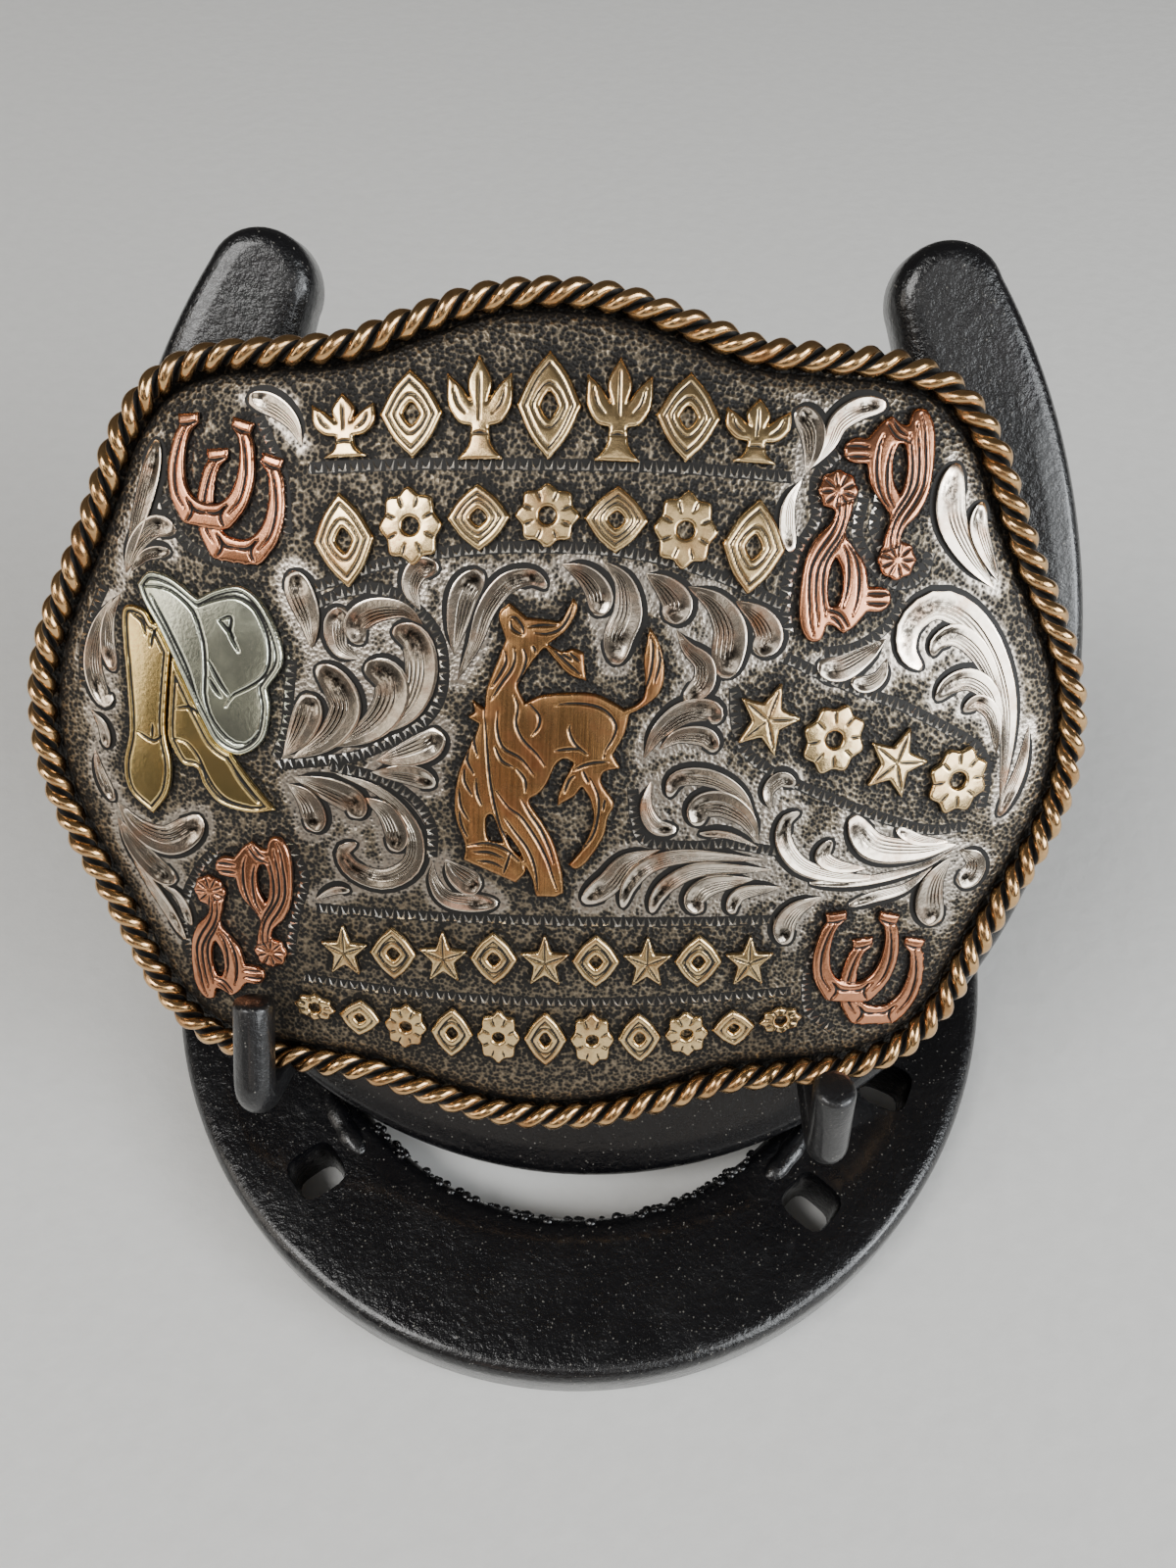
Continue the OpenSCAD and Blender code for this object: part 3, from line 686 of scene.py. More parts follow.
# Each leaf: widest width, then places along its spine from the root to the rounded lobe
LEAVES = [
    # The fan to the left of the horse
    (3.2, [(-27.5, -1.8), (-25.8, 0.5), (-24.6, 3), (-24.5, 5)]),
    (3.4, [(-26.5, -2), (-22.5, 0.5), (-20.6, 3.5), (-21.5, 6), (-23.5, 7.8)]),
    (3.6, [(-22, -0.5), (-17.8, 1.8), (-15.8, 4.5), (-16, 7), (-18.5, 8)]),
    (3.4, [(-18, 0.8), (-14, 3.8), (-12.6, 7.5), (-13.2, 10.8), (-15.5, 11.8)]),
    (2.6, [(-12.4, 12.4), (-14.5, 13.8), (-17.5, 13.6), (-19.3, 12.2), (-18.8, 10.2)]),
    (2.4, [(-19, 8.7), (-21, 9.8), (-21.4, 12), (-20.5, 13.8)]),
    (3.0, [(-24, 9.5), (-24.2, 12.5), (-25.3, 15.5), (-26, 17.3)]),
    (3.0, [(-17.5, -1.8), (-14, -0.8), (-11.8, 0.3), (-10.8, 1.8)]),
    (2.2, [(-18, -3), (-14, -3.1), (-11.3, -4)]),
    (3.0, [(-26.5, -4), (-22.5, -5.2), (-20, -6.5), (-20.2, -8.1)]),
    (2.8, [(-27.2, -4.8), (-25.3, -6.3), (-24.5, -8.3), (-25, -9.8)]),
    (2.2, [(-22, -3.3), (-17, -5.2), (-13.9, -9), (-14, -12.8), (-17, -14.8), (-20.3, -14),
           (-21.5, -12), (-20, -10.9)]),
    (2.6, [(-19, -5.8), (-16.7, -7.2), (-15.6, -9.5), (-16, -11.6)]),
    (2.0, [(-11.8, -12.5), (-11.7, -14.8), (-10, -16.8), (-5, -17)]),
    (2.8, [(-10.5, -12.2), (-9.3, -13.7), (-7.8, -14.8), (-6.8, -15.3)]),
    (0.9, [(-25, -17.8), (-22.8, -16.6), (-21, -16.4)]),
    (2.2, [(-12.7, 13.8), (-13.6, 16), (-12.8, 17.8), (-10.8, 18.1)]),
    (2.8, [(-9.3, 9.5), (-8.9, 12.5), (-8.2, 15.5), (-6.5, 17.8)]),
    (2.0, [(-9, 6.8), (-7.2, 10.5), (-6, 14), (-4, 16.6), (-1.5, 17.3), (0, 16.3)]),
    # Over and to the right of the horse
    (2.6, [(1.5, 18.6), (3.8, 17.6), (5.2, 15.8), (5.2, 13.6)]),
    (3.0, [(5.5, 19), (7.6, 17), (8.1, 14), (7.2, 11.5), (7, 8.8)]),
    (3.0, [(9.8, 17.8), (11.8, 16.5), (13, 14.8), (12, 13.2)]),
    (3.4, [(14, 16.6), (16.8, 15), (18.3, 12.5), (18.2, 9.8), (18, 7.5)]),
    (2.8, [(18.8, 15.2), (21.3, 13.6), (22.3, 11.6), (21, 10)]),
    (2.2, [(13, 12.3), (14.2, 10.5), (15.8, 9), (15.8, 7), (14, 5.2)]),
    (2.4, [(10, -0.8), (11.5, 2), (14, 4), (16.8, 4.2), (17.2, 2.8)]),
    (2.0, [(11.6, 0.2), (13.6, 1.6), (16.2, 1.5), (17.4, 0)]),
    (1.9, [(22, -8), (20, -4.6), (16.8, -2.8), (13.6, -2.9), (12.7, -4.8)]),
    (2.8, [(22.3, -10), (20.8, -7.2), (18.2, -5.6), (16, -6), (15.8, -8)]),
    (1.6, [(10.8, -3.2), (10.4, -6), (11.5, -8), (13.6, -8.4)]),
    (0.8, [(22.3, -10.4), (19, -9), (16, -8.8)]),
    (2.6, [(12, -10.6), (8.6, -12), (6.6, -14.5), (4, -16.6)]),
    (1.8, [(23, -11.8), (15, -11.3), (11, -12.3), (8.9, -14.6), (8.2, -17.2)]),
    (1.8, [(24, -13), (16.5, -12.8), (13.3, -14.2), (11.8, -16), (11.3, -17.8)]),
    (2.4, [(22, -14), (17.5, -14.6), (15.8, -16.2), (16.5, -17.8)]),
    (1.6, [(25, -15), (21, -15.5), (19.9, -16.8), (20, -18)]),
    (1.8, [(36, -14.3), (31, -14), (27, -12.6), (25, -10), (25, -7.6), (26.4, -6.6)]),
    (1.7, [(34, -13.2), (30.8, -12.8), (29.2, -11.6), (30, -9.8)]),
    (1.6, [(23.4, -6.4), (23, -4.3), (24.2, -3), (25.8, -3.6)]),
    (2.4, [(29.5, -16.3), (26.8, -17.6), (25.6, -19.5), (26, -21.8)]),
    (2.6, [(34.4, 11.4), (32, 9.6), (29.6, 8.4), (27.4, 8.8)]),
    (1.7, [(34.6, 9.4), (34, 7.6), (32.6, 6.8), (31, 7.2)]),
    # The right side
    (3.2, [(45.8, 16.3), (42.8, 19.6), (40.8, 23), (40.5, 26), (41, 28.8)]),
    (2.0, [(46.2, 17), (44.4, 20.4), (43.6, 22.8), (43.9, 25)]),
    (3.0, [(48.5, -7), (48.6, 0), (48, 5), (46.1, 9.7), (43.1, 13.4), (39.6, 14.8), (36.9, 12.9),
           (36.7, 10.1), (38.4, 8.2)]),
    (2.3, [(47.8, 3), (46.8, 6), (44.6, 9.8), (42, 11.7), (40, 11), (39.5, 9.6)]),
    (2.3, [(47.8, 0), (46.4, 5), (44, 7), (41.7, 6.6), (40.2, 5)]),
    (1.8, [(47.5, -1), (46.8, 3), (45, 4.6), (43.3, 3.8)]),
    (1.4, [(51, 2), (50.4, -3), (48.5, -8)]),
    (3.0, [(44, -11), (39, -11.4), (34.5, -10.6), (32, -7.2)]),
    (1.3, [(43, -10.6), (39.6, -10.2), (37, -8.8)]),
    (1.0, [(44, -11.4), (40, -13.4), (34, -14.6), (28, -14.6)]),
    (3.2, [(43.5, -12.4), (41.8, -15), (41.6, -17.8), (42.8, -20.3)]),
    (2.6, [(44.4, -11.6), (46.2, -12.8), (46.2, -14.4), (44.6, -15.6)]),
    (1.2, [(41.5, -13.4), (38.5, -15.7), (35, -16.6), (32.5, -17.4)]),
    # The left side
    (2.2, [(-44.6, 16.5), (-43, 21.5), (-41.6, 26), (-40.6, 30)]),
    (2.3, [(-44.6, 16.4), (-43.2, 19.5), (-41, 21.3), (-38.6, 20.9)]),
    (1.3, [(-44, 16.6), (-42, 18.4), (-39.3, 18.8)]),
    (1.7, [(-45.3, 14.3), (-46.7, 12), (-47.2, 9), (-46.6, 6)]),
    (2.2, [(-46.3, 13.8), (-48.3, 10.5), (-49.2, 6.5), (-48.2, 3), (-46.9, 3.2)]),
    (1.4, [(-49.8, 1.6), (-48.5, -0.2), (-48.2, -2.5)]),
    (1.3, [(-49.8, -2.8), (-49.3, -5.5), (-48, -8.5)]),
    (3.4, [(-47.6, -8.6), (-45, -11.4), (-41.8, -12.4), (-39, -11), (-37.4, -9.3)]),
    (2.8, [(-47.8, -10.4), (-45.6, -13.8), (-43.2, -16.2), (-41.2, -17.2)]),
    (1.6, [(-47.6, -12), (-45, -17), (-42.6, -21), (-41, -24.5)]),
    (1.2, [(-43.5, -17.6), (-41, -19.3), (-40, -22.6)]),
    (2.2, [(-24.8, 29.6), (-25.8, 31.8), (-27.8, 33.4), (-30.6, 34.2)]),
    (2.6, [(25.4, 27.6), (26, 29.8), (25.8, 32), (24.4, 33.8)]),
    (2.2, [(26, 28.2), (27.6, 30.4), (28.6, 32.6), (30.8, 34), (33.4, 34.3)]),
    (1.6, [(25, 27), (23.9, 25), (23.7, 22.6), (24.2, 20)]),
]
LEAF_ROWS = 32
# Columns across the black band under each leaf: blackened cut metal with painted shade
SHADED_CUT_COLS = 5
LOBE_FROM = 0.7


def leaf_shape():
    """Parts of the spine, close together round the lobe, and the half width there as part of the widest:
    sin(90 t / 0.7)^0.85 up to 0.7 of the length, then a quarter circle to the tip."""
    k = np.linspace(0, 1, LEAF_ROWS)
    angle = np.clip((k - 0.6) / 0.4, 0, 1) * np.pi / 2
    t = np.where(k < 0.6, LOBE_FROM * k / 0.6, LOBE_FROM + (1 - LOBE_FROM) * np.sin(angle))
    swell = np.where(k < 0.6, np.sin(np.pi / 2 * np.clip(t / LOBE_FROM, 0, 1)) ** 0.85, np.cos(angle))
    return t, np.clip(swell, 0, 1)


def leaf_paths():
    """Each leaf's spine, its half widths, and which side is the outside of its bend (1 left, -1 right)."""
    t, swell = leaf_shape()
    for width, spine in LEAVES:
        path = open_curve(spine, t)
        step = np.diff(np.array(spine, float), axis=0)
        bend = (step[:-1, 0] * step[1:, 1] - step[:-1, 1] * step[1:, 0]).sum()
        yield path, width / 2 * swell, (-1 if bend > 0 else 1)


def scroll():
    """Leaves as raised ribbons. Across a leaf, b runs from -1 inside its bend to 1 outside it: the height is
    lift*((b+1)/2)^0.8, it drops straight down at b = 1, and the lobe is hollowed by 0.5*exp(-((t-0.82)/0.1)^2
    - ((b-0.15)/0.4)^2). A black band under each leaf, a little wider than it, stands for the cut beside it:
    blackened metal with painted shade of the undercut, since the plate itself is not cut there."""
    t, swell = leaf_shape()
    b = np.array([-1, -0.7, -0.38, -0.05, 0.28, 0.56, 0.78, 0.93, 1, 1])
    ramp = ((b + 1) / 2) ** 0.8
    ramp[-2:] = [0.9, 0.0]
    hollow = 0.5 * np.exp(-((t[:, None] - 0.82) / 0.1) ** 2 - ((b[None, :] - 0.15) / 0.4) ** 2)
    # Painted shade with blackened metal: the foot of a leaf's outer edge is black and its inner edge half
    # dark, as at a cut
    dark = np.zeros((LEAF_ROWS, len(b)))
    dark[:, -1] = 1
    dark[:, 0] = 0.55
    grow = np.clip(t / 0.2, 0, 1)
    wide = np.concatenate([(0.22 + 0.42 * swell) * grow, (np.where(t > 0.8, 0.34, 0.1) * grow)[::-1]])
    cross = np.linspace(0, 1, SHADED_CUT_COLS)[None, :, None]
    flat, height, uv, marks, quads = [], [], [], [], []
    count = 0
    for number, (path, half, side) in enumerate(leaf_paths()):
        left = left_of(path) * side
        grid = path[:, None] + (half[:, None] * b[None, :])[..., None] * left[:, None]
        lift = 0.2 + 0.16 * half.max() / 1.6
        rise = np.maximum(ramp[None, :] - hollow * (ramp > 0), 0)
        rise = lift * np.clip(1.8 * swell, 0, 1)[:, None] * rise + 0.03
        faces = grid_faces(LEAF_ROWS, len(b), first=count)
        flat.append(grid.reshape(-1, 2))
        height.append(rise.reshape(-1))
        uv.append(np.stack(np.broadcast_arrays(t[:, None], (b[None, :] + 1) / 2), -1).reshape(-1, 2))
        marks.append(dark.reshape(-1))
        quads.append(faces[:, ::-1] if side > 0 else faces)
        count += grid.shape[0] * grid.shape[1]
        # The black band under the leaf, wider outside its bend and round the lobe: blackened cut metal with
        # painted shade of the undercut
        loop = np.vstack([path + half[:, None] * left, (path - half[:, None] * left)[::-1]])
        loop = loop + wide[:, None] * quarter_left(round_steps(loop)) * side
        outer, inner = loop[:LEAF_ROWS], loop[LEAF_ROWS:][::-1]
        undercut_shade = inner[:, None] * (1 - cross) + outer[:, None] * cross
        faces = grid_faces(LEAF_ROWS, SHADED_CUT_COLS, first=count)
        flat.append(undercut_shade.reshape(-1, 2))
        height.append(np.full(LEAF_ROWS * SHADED_CUT_COLS, 0.012 + 0.0002 * number))
        uv.append(np.zeros((LEAF_ROWS * SHADED_CUT_COLS, 2)))
        marks.append(np.ones(LEAF_ROWS * SHADED_CUT_COLS))
        quads.append(faces[:, ::-1] if side > 0 else faces)
        count += LEAF_ROWS * SHADED_CUT_COLS
    points = on_face(np.vstack(flat), np.concatenate(height))
    return make_piece("scroll_leaves", points, np.vstack(quads), LEAF,
                      marks=np.concatenate(marks), uv=np.vstack(uv), sharp=60)


# Figures

RIDER = [
    (-4.7, 13.6), (-3.6, 14.8, 1), (-1.9, 13.4, 1), (0.3, 13.2), (1.4, 13.1), (2.1, 14.2),
    (2.7, 15.5, 1), (3.1, 14.4), (2.5, 12.9), (1.6, 11.8), (0.2, 10.8, 1), (1.6, 10.1), (2.8, 10.4),
    (3.8, 10, 1), (3.9, 8.8), (4.1, 7.2, 1), (2.4, 7.8), (1.1, 9.1), (-0.1, 10.5, 1),
    (-1.4, 8.9), (-2.7, 6.9), (-2.6, 6), (-2, 4.9, 1), (-0.3, 5.7), (2.5, 6), (5, 5.9),
    (6.8, 5.1), (8, 4.4, 1), (9.3, 5), (10, 6.3), (9.8, 9.6), (10.3, 12.7, 1), (11.3, 11),
    (11.9, 8.2), (11.4, 6), (9.8, 4.6), (8.5, 3.9, 1), (8, 1.8), (6.9, -0.3, 1), (7.7, -1.7, 1),
    (6.1, -2.1), (5.8, -3.3), (7.1, -5.4), (6.5, -7), (6.1, -9), (4.6, -11.6), (3.3, -12.7),
    (2.5, -12.2, 1), (4, -10.2), (5, -7.5), (4.7, -5.2), (3.8, -3.7, 1), (3.1, -4.7, 1),
    (1.3, -5.8, 1), (1.5, -4.3), (2.9, -1.2, 1), (2, -0.8), (1.1, -1.5), (0.2, -3.5),
    (-0.6, -4.5), (-1.6, -5.4), (-0.4, -7.4), (0.9, -9.8), (1.8, -13), (2, -15.4, 1),
    (1.2, -15.9, 1), (-0.9, -15.9, 1), (-1.3, -14), (-2.1, -12.2, 1), (-2, -13.2), (-3, -14.4, 1),
    (-5.5, -13.3), (-8.5, -12, 1), (-8.3, -10.3), (-9.3, -6.8), (-8.9, -2.8), (-7.7, 0.2),
    (-6.7, 2.6, 1), (-7.9, 3.3, 1), (-7.1, 3.9, 1), (-7.4, 5.1, 1), (-6.1, 4.2, 1), (-5.9, 6.2),
    (-5, 8.6), (-4, 11.2, 1)]
RIDER_GAPS = [
    [(-6, -7.3), (-5.3, -7.1), (-4.3, -9.9, 1), (-5.6, -9.9), (-6, -9)],
    [(-4.1, -8.7, 1), (-2.9, -10.3), (-2.2, -11.8, 1), (-3.4, -10.6)]]
RIDER_LINES = [
    # Head, hat and arms
    [(-3.6, 13.4), (-3, 13.4), (-2.3, 12.5), (-2.1, 11.7)], [(-3.5, 13.1), (-3.3, 12.3), (-2.3, 11.7)],
    [(-1.8, 12.5), (-0.5, 12.7), (1.1, 12.7)],
    [(-1, 11.9), (0.3, 11.9), (1.5, 12.4), (2.3, 13.6), (2.7, 14.8)],
    [(-3.1, 10.4), (-3, 9.4), (-3.4, 8.2), (-4.4, 6.8), (-5.4, 5.2)],
    [(-4.1, 10.2), (-3.9, 9.1), (-4.5, 7.8), (-5.4, 6.4)],
    [(-2.2, 10.4), (-1.9, 9.3), (-2.3, 7.9), (-2.9, 6.8)], [(-1.3, 10.7), (-0.9, 10)],
    [(0.8, 10.3), (2.1, 9.1), (3.6, 7.8)], [(1.6, 9.9), (2.7, 9.3)], [(2.4, 10), (3.4, 9.2)],
    # Reins, neck and mane
    [(-6.1, 4.2), (-5.9, 1.1), (-5.6, -2.9), (-5, -6.5), (-4.2, -9), (-2.2, -11.9)],
    [(-3.1, 5.7), (-2.7, 4.4), (-2.9, 2.9), (-2.3, 1.3), (-0.8, -0.3), (0.1, -1.6)],
    [(-4.7, 4.4), (-4.8, 2.1), (-4.2, 0.3), (-2.4, -0.8), (-1, -2.6)],
    [(-1.6, 4.9), (-0.6, 3.7), (-0.6, 2.6), (-1.3, 1.6)], [(-5.1, 0.5), (-4.4, -1), (-3.2, -1.7)],
    [(-2.9, -1.8), (-2, -3), (-1.9, -4.4)], [(-6.8, 2.4), (-7.2, 1), (-6.8, -0.8)],
    [(-7.7, 0), (-7.9, -1.2), (-7.2, -2.6)], [(-8.2, -1.9), (-8.2, -3.4), (-7.4, -4.9)],
    [(-8.8, -4.2), (-8.6, -6.1), (-7.8, -7.6)], [(-8.8, -6.6), (-8.6, -8.1), (-8, -9.4)],
    [(-7, -3), (-6.9, -4.6), (-6.4, -6)],
    # Back and belly
    [(1, 4.8), (3.1, 5), (5.2, 4.7), (6.5, 3.9), (7.2, 2.6), (6.8, 1.3), (6.2, 0.3), (6, -0.6)],
    [(2.6, 2.9), (2.5, 2.1), (3.1, 0.8), (4.4, -0.3)], [(1.1, 0.1), (2.6, 0.3), (3.6, 0.3)],
    [(2.9, -1.9), (4.5, -1.2), (6.6, -0.9)],
    # Legs and head
    [(-5, -4.2), (-3.7, -6), (-2.4, -7), (-0.8, -9.4), (0.3, -11.7), (0.8, -13.3), (1.4, -15.2)],
    [(-4.2, -7), (-3.1, -8.6), (-1.8, -10.4), (-1, -12.5), (-0.7, -15.3)],
    [(-2.4, -5), (-1.6, -6.5), (-0.4, -8.3), (0.5, -10.4), (1, -12.2)],
    [(-8, -10.3), (-6, -10), (-4.2, -10.5), (-2.5, -12)], [(-7.5, -11), (-5.7, -11), (-4.2, -11.6)],
    [(-7, -12), (-5.5, -12.1), (-4.3, -12.7)], [(-3.5, -10.9), (-3.9, -12.2), (-4.3, -13.4)],
    [(4.6, -2.6), (5.5, -4.7), (5.5, -6.8), (5, -8.9), (4, -10.4)], [(6.2, -4.9), (6, -6.2)],
    [(3.9, -1.9), (4.5, -3.3)], [(2, -4.4), (2.5, -3), (3.1, -2.4)],
    [(10.4, 11.9), (10.7, 10.4), (10.5, 8.1), (9.9, 6.2)], [(11.2, 10.6), (11.4, 9.1), (10.9, 7)]]
HAT = [
    (-43.1, 15.5, 1), (-41.6, 16.8), (-39, 16.2), (-36.2, 14.3, 1), (-34, 15.3), (-31.4, 15.7),
    (-29.2, 14.2), (-27.5, 11), (-27.1, 8), (-28.9, 5.3, 1), (-28.7, 3), (-29.6, -0.2),
    (-32.2, -1.9), (-34.8, -0.9), (-36.4, 1.8), (-38.2, 5.6), (-40.4, 10.2), (-42.4, 13.6)]
HAT_LINES = [
    [(-42.2, 15.3), (-39.9, 15.2), (-38.2, 14.4), (-36.6, 12.9), (-36, 11.2), (-35.6, 9.3),
     (-35.6, 6.4), (-35.8, 4.5), (-35.2, 2), (-33.6, 0), (-32.2, -0.7), (-31, -0.4), (-30, 0.8)],
    [(-36.1, 13.5), (-33.9, 14.3), (-31.8, 14.6), (-29.9, 13.6), (-28.9, 11.8), (-28.4, 9.9),
     (-28.5, 7.8), (-29.3, 6.4), (-31.2, 5.2), (-32.6, 4.5), (-33.5, 3.2)],
    [(-33.8, 12.2), (-32.5, 12.5), (-32.6, 10.9), (-31.7, 9)], [(-35.2, 8), (-34, 5.8), (-32.9, 4.3)],
    [(-35.2, 6.1), (-34.5, 5), (-33.9, 4.2)],
    [(-41.4, 14.4), (-39.4, 10.6), (-37.6, 6.8), (-36.6, 3.4)],
    [(-33.8, 12.2), (-33, 11.4), (-32.2, 10.4)]]
BOOT_LEFT = [
    (-45.1, 11.5), (-44.4, 13.2), (-42.4, 12.8), (-41.5, 11.5, 1), (-40.6, 11.6, 1),
    (-39.5, 9.2, 1), (-40.2, 4.5), (-40.7, 0), (-40.3, -3.6), (-41, -6.8), (-43, -9.3, 1),
    (-45.6, -7), (-46, -3.8), (-45, 0), (-44.9, 5)]
BOOT_LEFT_LINES = [
    [(-43.9, -0.2), (-42.2, -1), (-41, -0.4)], [(-43.8, 12.4), (-42.6, 11.6), (-42.2, 10.1)],
    [(-41, 11), (-41.5, 10), (-41.7, 9)], [(-42.3, -0.8), (-42.1, 0.8)]]
BOOT_RIGHT = [
    (-39.3, 8.9, 1), (-39.9, 4.5), (-40.4, 0), (-40, -1.6), (-38.9, -3.4), (-37.3, -3.8),
    (-36.6, -5.6), (-34.8, -7.5), (-31.5, -8.2), (-28.6, -7.7, 1), (-31, -4.9), (-33.4, -1.6, 1),
    (-35.5, 1.5), (-37.6, 5.4)]
BOOT_RIGHT_LINES = [
    [(-39.3, 2.7), (-37.6, 2.9), (-36.4, 2), (-35.7, 0.8)],
    [(-39.7, -0.6), (-38.2, -0.9), (-37, -2.3), (-36.2, -4.2), (-35.1, -6), (-33.5, -7.1), (-30, -7.7)],
    [(-33.6, -2.1), (-32.4, -4.4), (-30.4, -7)]]
# One arm of a small horseshoe, from the middle of its toe out to the heel and back inside
SHOE_ARM = [
    (0, 0), (2.3, 0.1), (3.2, 0.9, 1), (4.3, 2.8), (4.8, 5.6), (4.4, 8.6), (3.9, 9.7, 1),
    (4.2, 10.8, 1), (1.9, 11.2, 1), (1.8, 10.2, 1), (2.7, 9), (3, 6.8), (2.6, 4.3), (1.5, 2.8),
    (0, 2.4)]
SHOE_LINES = [
    [(2.4, 1.6), (3.5, 3.2), (3.9, 5.6), (3.6, 8), (3, 9.9)], [(2.1, 0.3), (1.6, 1.3), (1.9, 2.4)],
    [(1.9, 10.3), (2.9, 9.9), (4, 9.8)], [(-0.1, 1.5), (1.2, 1.6), (2.3, 2.6)]]
SPUR = [
    (28.6, 24.6, 1), (28.1, 23), (26.6, 21.4), (25.6, 19.2), (25.2, 16.2), (25.3, 13.2),
    (26.2, 11.4), (27.5, 11.4), (28.1, 12.9, 1), (28.9, 12.7), (29.8, 12, 1), (30.9, 12.7),
    (32.2, 14.2, 1), (33.6, 14.2), (34.5, 15), (34.5, 16), (33.7, 16.6), (32.2, 16.7, 1),
    (31.7, 18.9), (30.3, 20.7), (29.6, 22), (30.1, 23.8), (30.3, 25.2, 1)]
SPUR_GAP = [(28.7, 19.6, 1), (29.4, 18.1), (29.5, 16.1), (29, 14.8, 1), (28.4, 14.8), (28, 16.4),
            (28.2, 18.3)]
SPUR_LINES = [
    [(28.9, 25.6), (28.8, 23.6), (28.2, 22), (27.1, 20.4), (26.3, 18.7), (26.1, 16.9), (26.2, 14.9),
     (26.4, 12.9), (26.8, 11.8)],
    [(29.5, 25.6), (29.4, 23.4), (28.9, 21.8), (27.8, 20.1), (27, 18.6), (26.8, 16.9), (26.9, 14.9),
     (27.2, 12.7)],
    [(29.6, 22.4), (28.9, 21), (28, 19.6), (27.6, 18.4), (27.5, 16.9), (27.7, 14.9), (27.9, 13.7)],
    [(29.3, 20.8), (29.9, 19.6), (30.1, 17.9), (30, 16.3), (29.6, 14.7)],
    [(29.7, 21), (30.6, 19.8), (31.1, 18.1), (31.2, 16.5), (31, 14.9), (30.6, 13.8)],
    [(32, 16), (33.2, 16), (34.3, 16)], [(32, 15.1), (33.2, 15), (34.4, 15)],
    [(27.9, 14.5), (29.3, 14), (30.3, 12.7)], [(28.3, 13.8), (29, 13.4), (29.7, 12.4)],
    [(28.4, 25.4), (29.4, 25.1), (30.4, 25.2)]]
SPUR_ROWEL = np.array([28.7, 26])
SPUR_ROWEL_R = 1.95
SPUR_MIDDLE = np.array([29.4, 19.2])
SPURS = [
    ("spur_upper_left", 29.4, 19.2, 0, 1), ("spur_upper_right", 34.3, 26.1, 180, 1),
    ("spur_lower_left", -36.4, -24.2, 0, 0.94), ("spur_lower_right", -31.2, -18.2, 180, 0.94)]
SHOE_PAIRS = [("horseshoes_upper", -35.1, 21.4, -6), ("horseshoes_lower", 33.4, -29.2, -4)]
SECOND_SHOE = np.array([3.5, -3.1])


def cuts(paths, width=0.42, deep=0.28, place=lambda p: p):
    """Engraved lines: each path as a smooth curve with its width and depth."""
    return [(width, deep, place(open_curve(path, 24))) for path in paths]


def figures():
    """The soldered figures, each from its outline, gaps and engraved lines; returns the outlines."""
    rider, hat, left, right = (closed_curve(outline) for outline in (RIDER, HAT, BOOT_LEFT, BOOT_RIGHT))
    gaps = [closed_curve(gap) for gap in RIDER_GAPS]
    relief("bronc_rider", [(rider, gaps, cuts(RIDER_LINES, 0.46, 0.3), [])], BRONZE,
           step=0.13, crown=0.18, rim=0.26)
    relief("hat", [(hat, [], cuts(HAT_LINES, 0.56, 0.34), [(0.66, 0.4, 0.24)])], HAT_METAL,
           crown=0.05)
    for name, outline, over, lines in (("boot_left", left, [hat], BOOT_LEFT_LINES),
                                       ("boot_right", right, [hat, left], BOOT_RIGHT_LINES)):
        relief(name, [(outline, over, cuts(lines, 0.5, 0.32), [(0.62, 0.42, 0.26)])], BOOT_METAL,
               crown=0.05)
    return [rider, hat, left, right] + gaps + shoe_pairs() + spurs()


def shoe_pairs():
    """Each pair of small horseshoes, the second lying under the first; returns the outlines."""
    edges = []
    shoe_outline = closed_curve(SHOE_ARM + mirrored(SHOE_ARM[-2:0:-1]))
    lines = SHOE_LINES + [mirrored(line) for line in SHOE_LINES]
    for name, x, y, angle in SHOE_PAIRS:
        layers = []
        for shift in (np.zeros(2), SECOND_SHOE):
            place = lambda p, shift=shift: turned(p + shift, angle) + (x, y)
            layers.append((place(shoe_outline), [], cuts(lines, 0.46, 0.3, place), []))
        relief(name, layers, COPPER, crown=0.1, drop=0.22)
        edges += [layer[0] for layer in layers]
    return edges


def spurs():
    """Each spur with its rowel, a disc whose radius swells by 0.05*cos(8*angle); returns the outlines."""
    edges = []
    swell = 1 + 0.05 * np.cos(8 * np.linspace(0, 2 * np.pi, 48, endpoint=False))
    rowel = SPUR_ROWEL + SPUR_ROWEL_R * circle(48) * swell[:, None]
    spokes = [[SPUR_ROWEL + r * np.array([math.cos(a), math.sin(a)]) for r in (0.4, 1.1, 1.85)]
              for a in np.arange(9) * math.pi * 2 / 9 + 0.39]
    for name, x, y, angle, size in SPURS:
        place = lambda p: turned((p - SPUR_MIDDLE) * size, angle) + (x, y)
        yoke, gap = place(closed_curve(SPUR)), place(closed_curve(SPUR_GAP))
        layers = [(yoke, [gap], cuts(SPUR_LINES, 0.5, 0.34, place), []),
                  (place(rowel), [], cuts(spokes, 0.36, 0.26, place), [])]
        relief(name, layers, COPPER, crown=0.1, drop=0.05)
        edges += [yoke, layers[1][0], gap]
    return edges


# Gilt ornaments in rows

FLEUR_SIDE = [
    (0, 0.5, 1), (0.19, 0.25), (0.12, 0.04, 1), (0.28, 0.2), (0.5, 0.33, 1), (0.5, 0.04),
    (0.34, -0.14), (0.14, -0.18, 1), (0.18, -0.35), (0.36, -0.5, 1)]


def spoke(w, h, part, degrees):
    """The place at an angle clockwise from the top, so far out as a part of the width and height."""
    a = math.radians(degrees)
    return w * part * math.sin(a), h * part * math.cos(a)


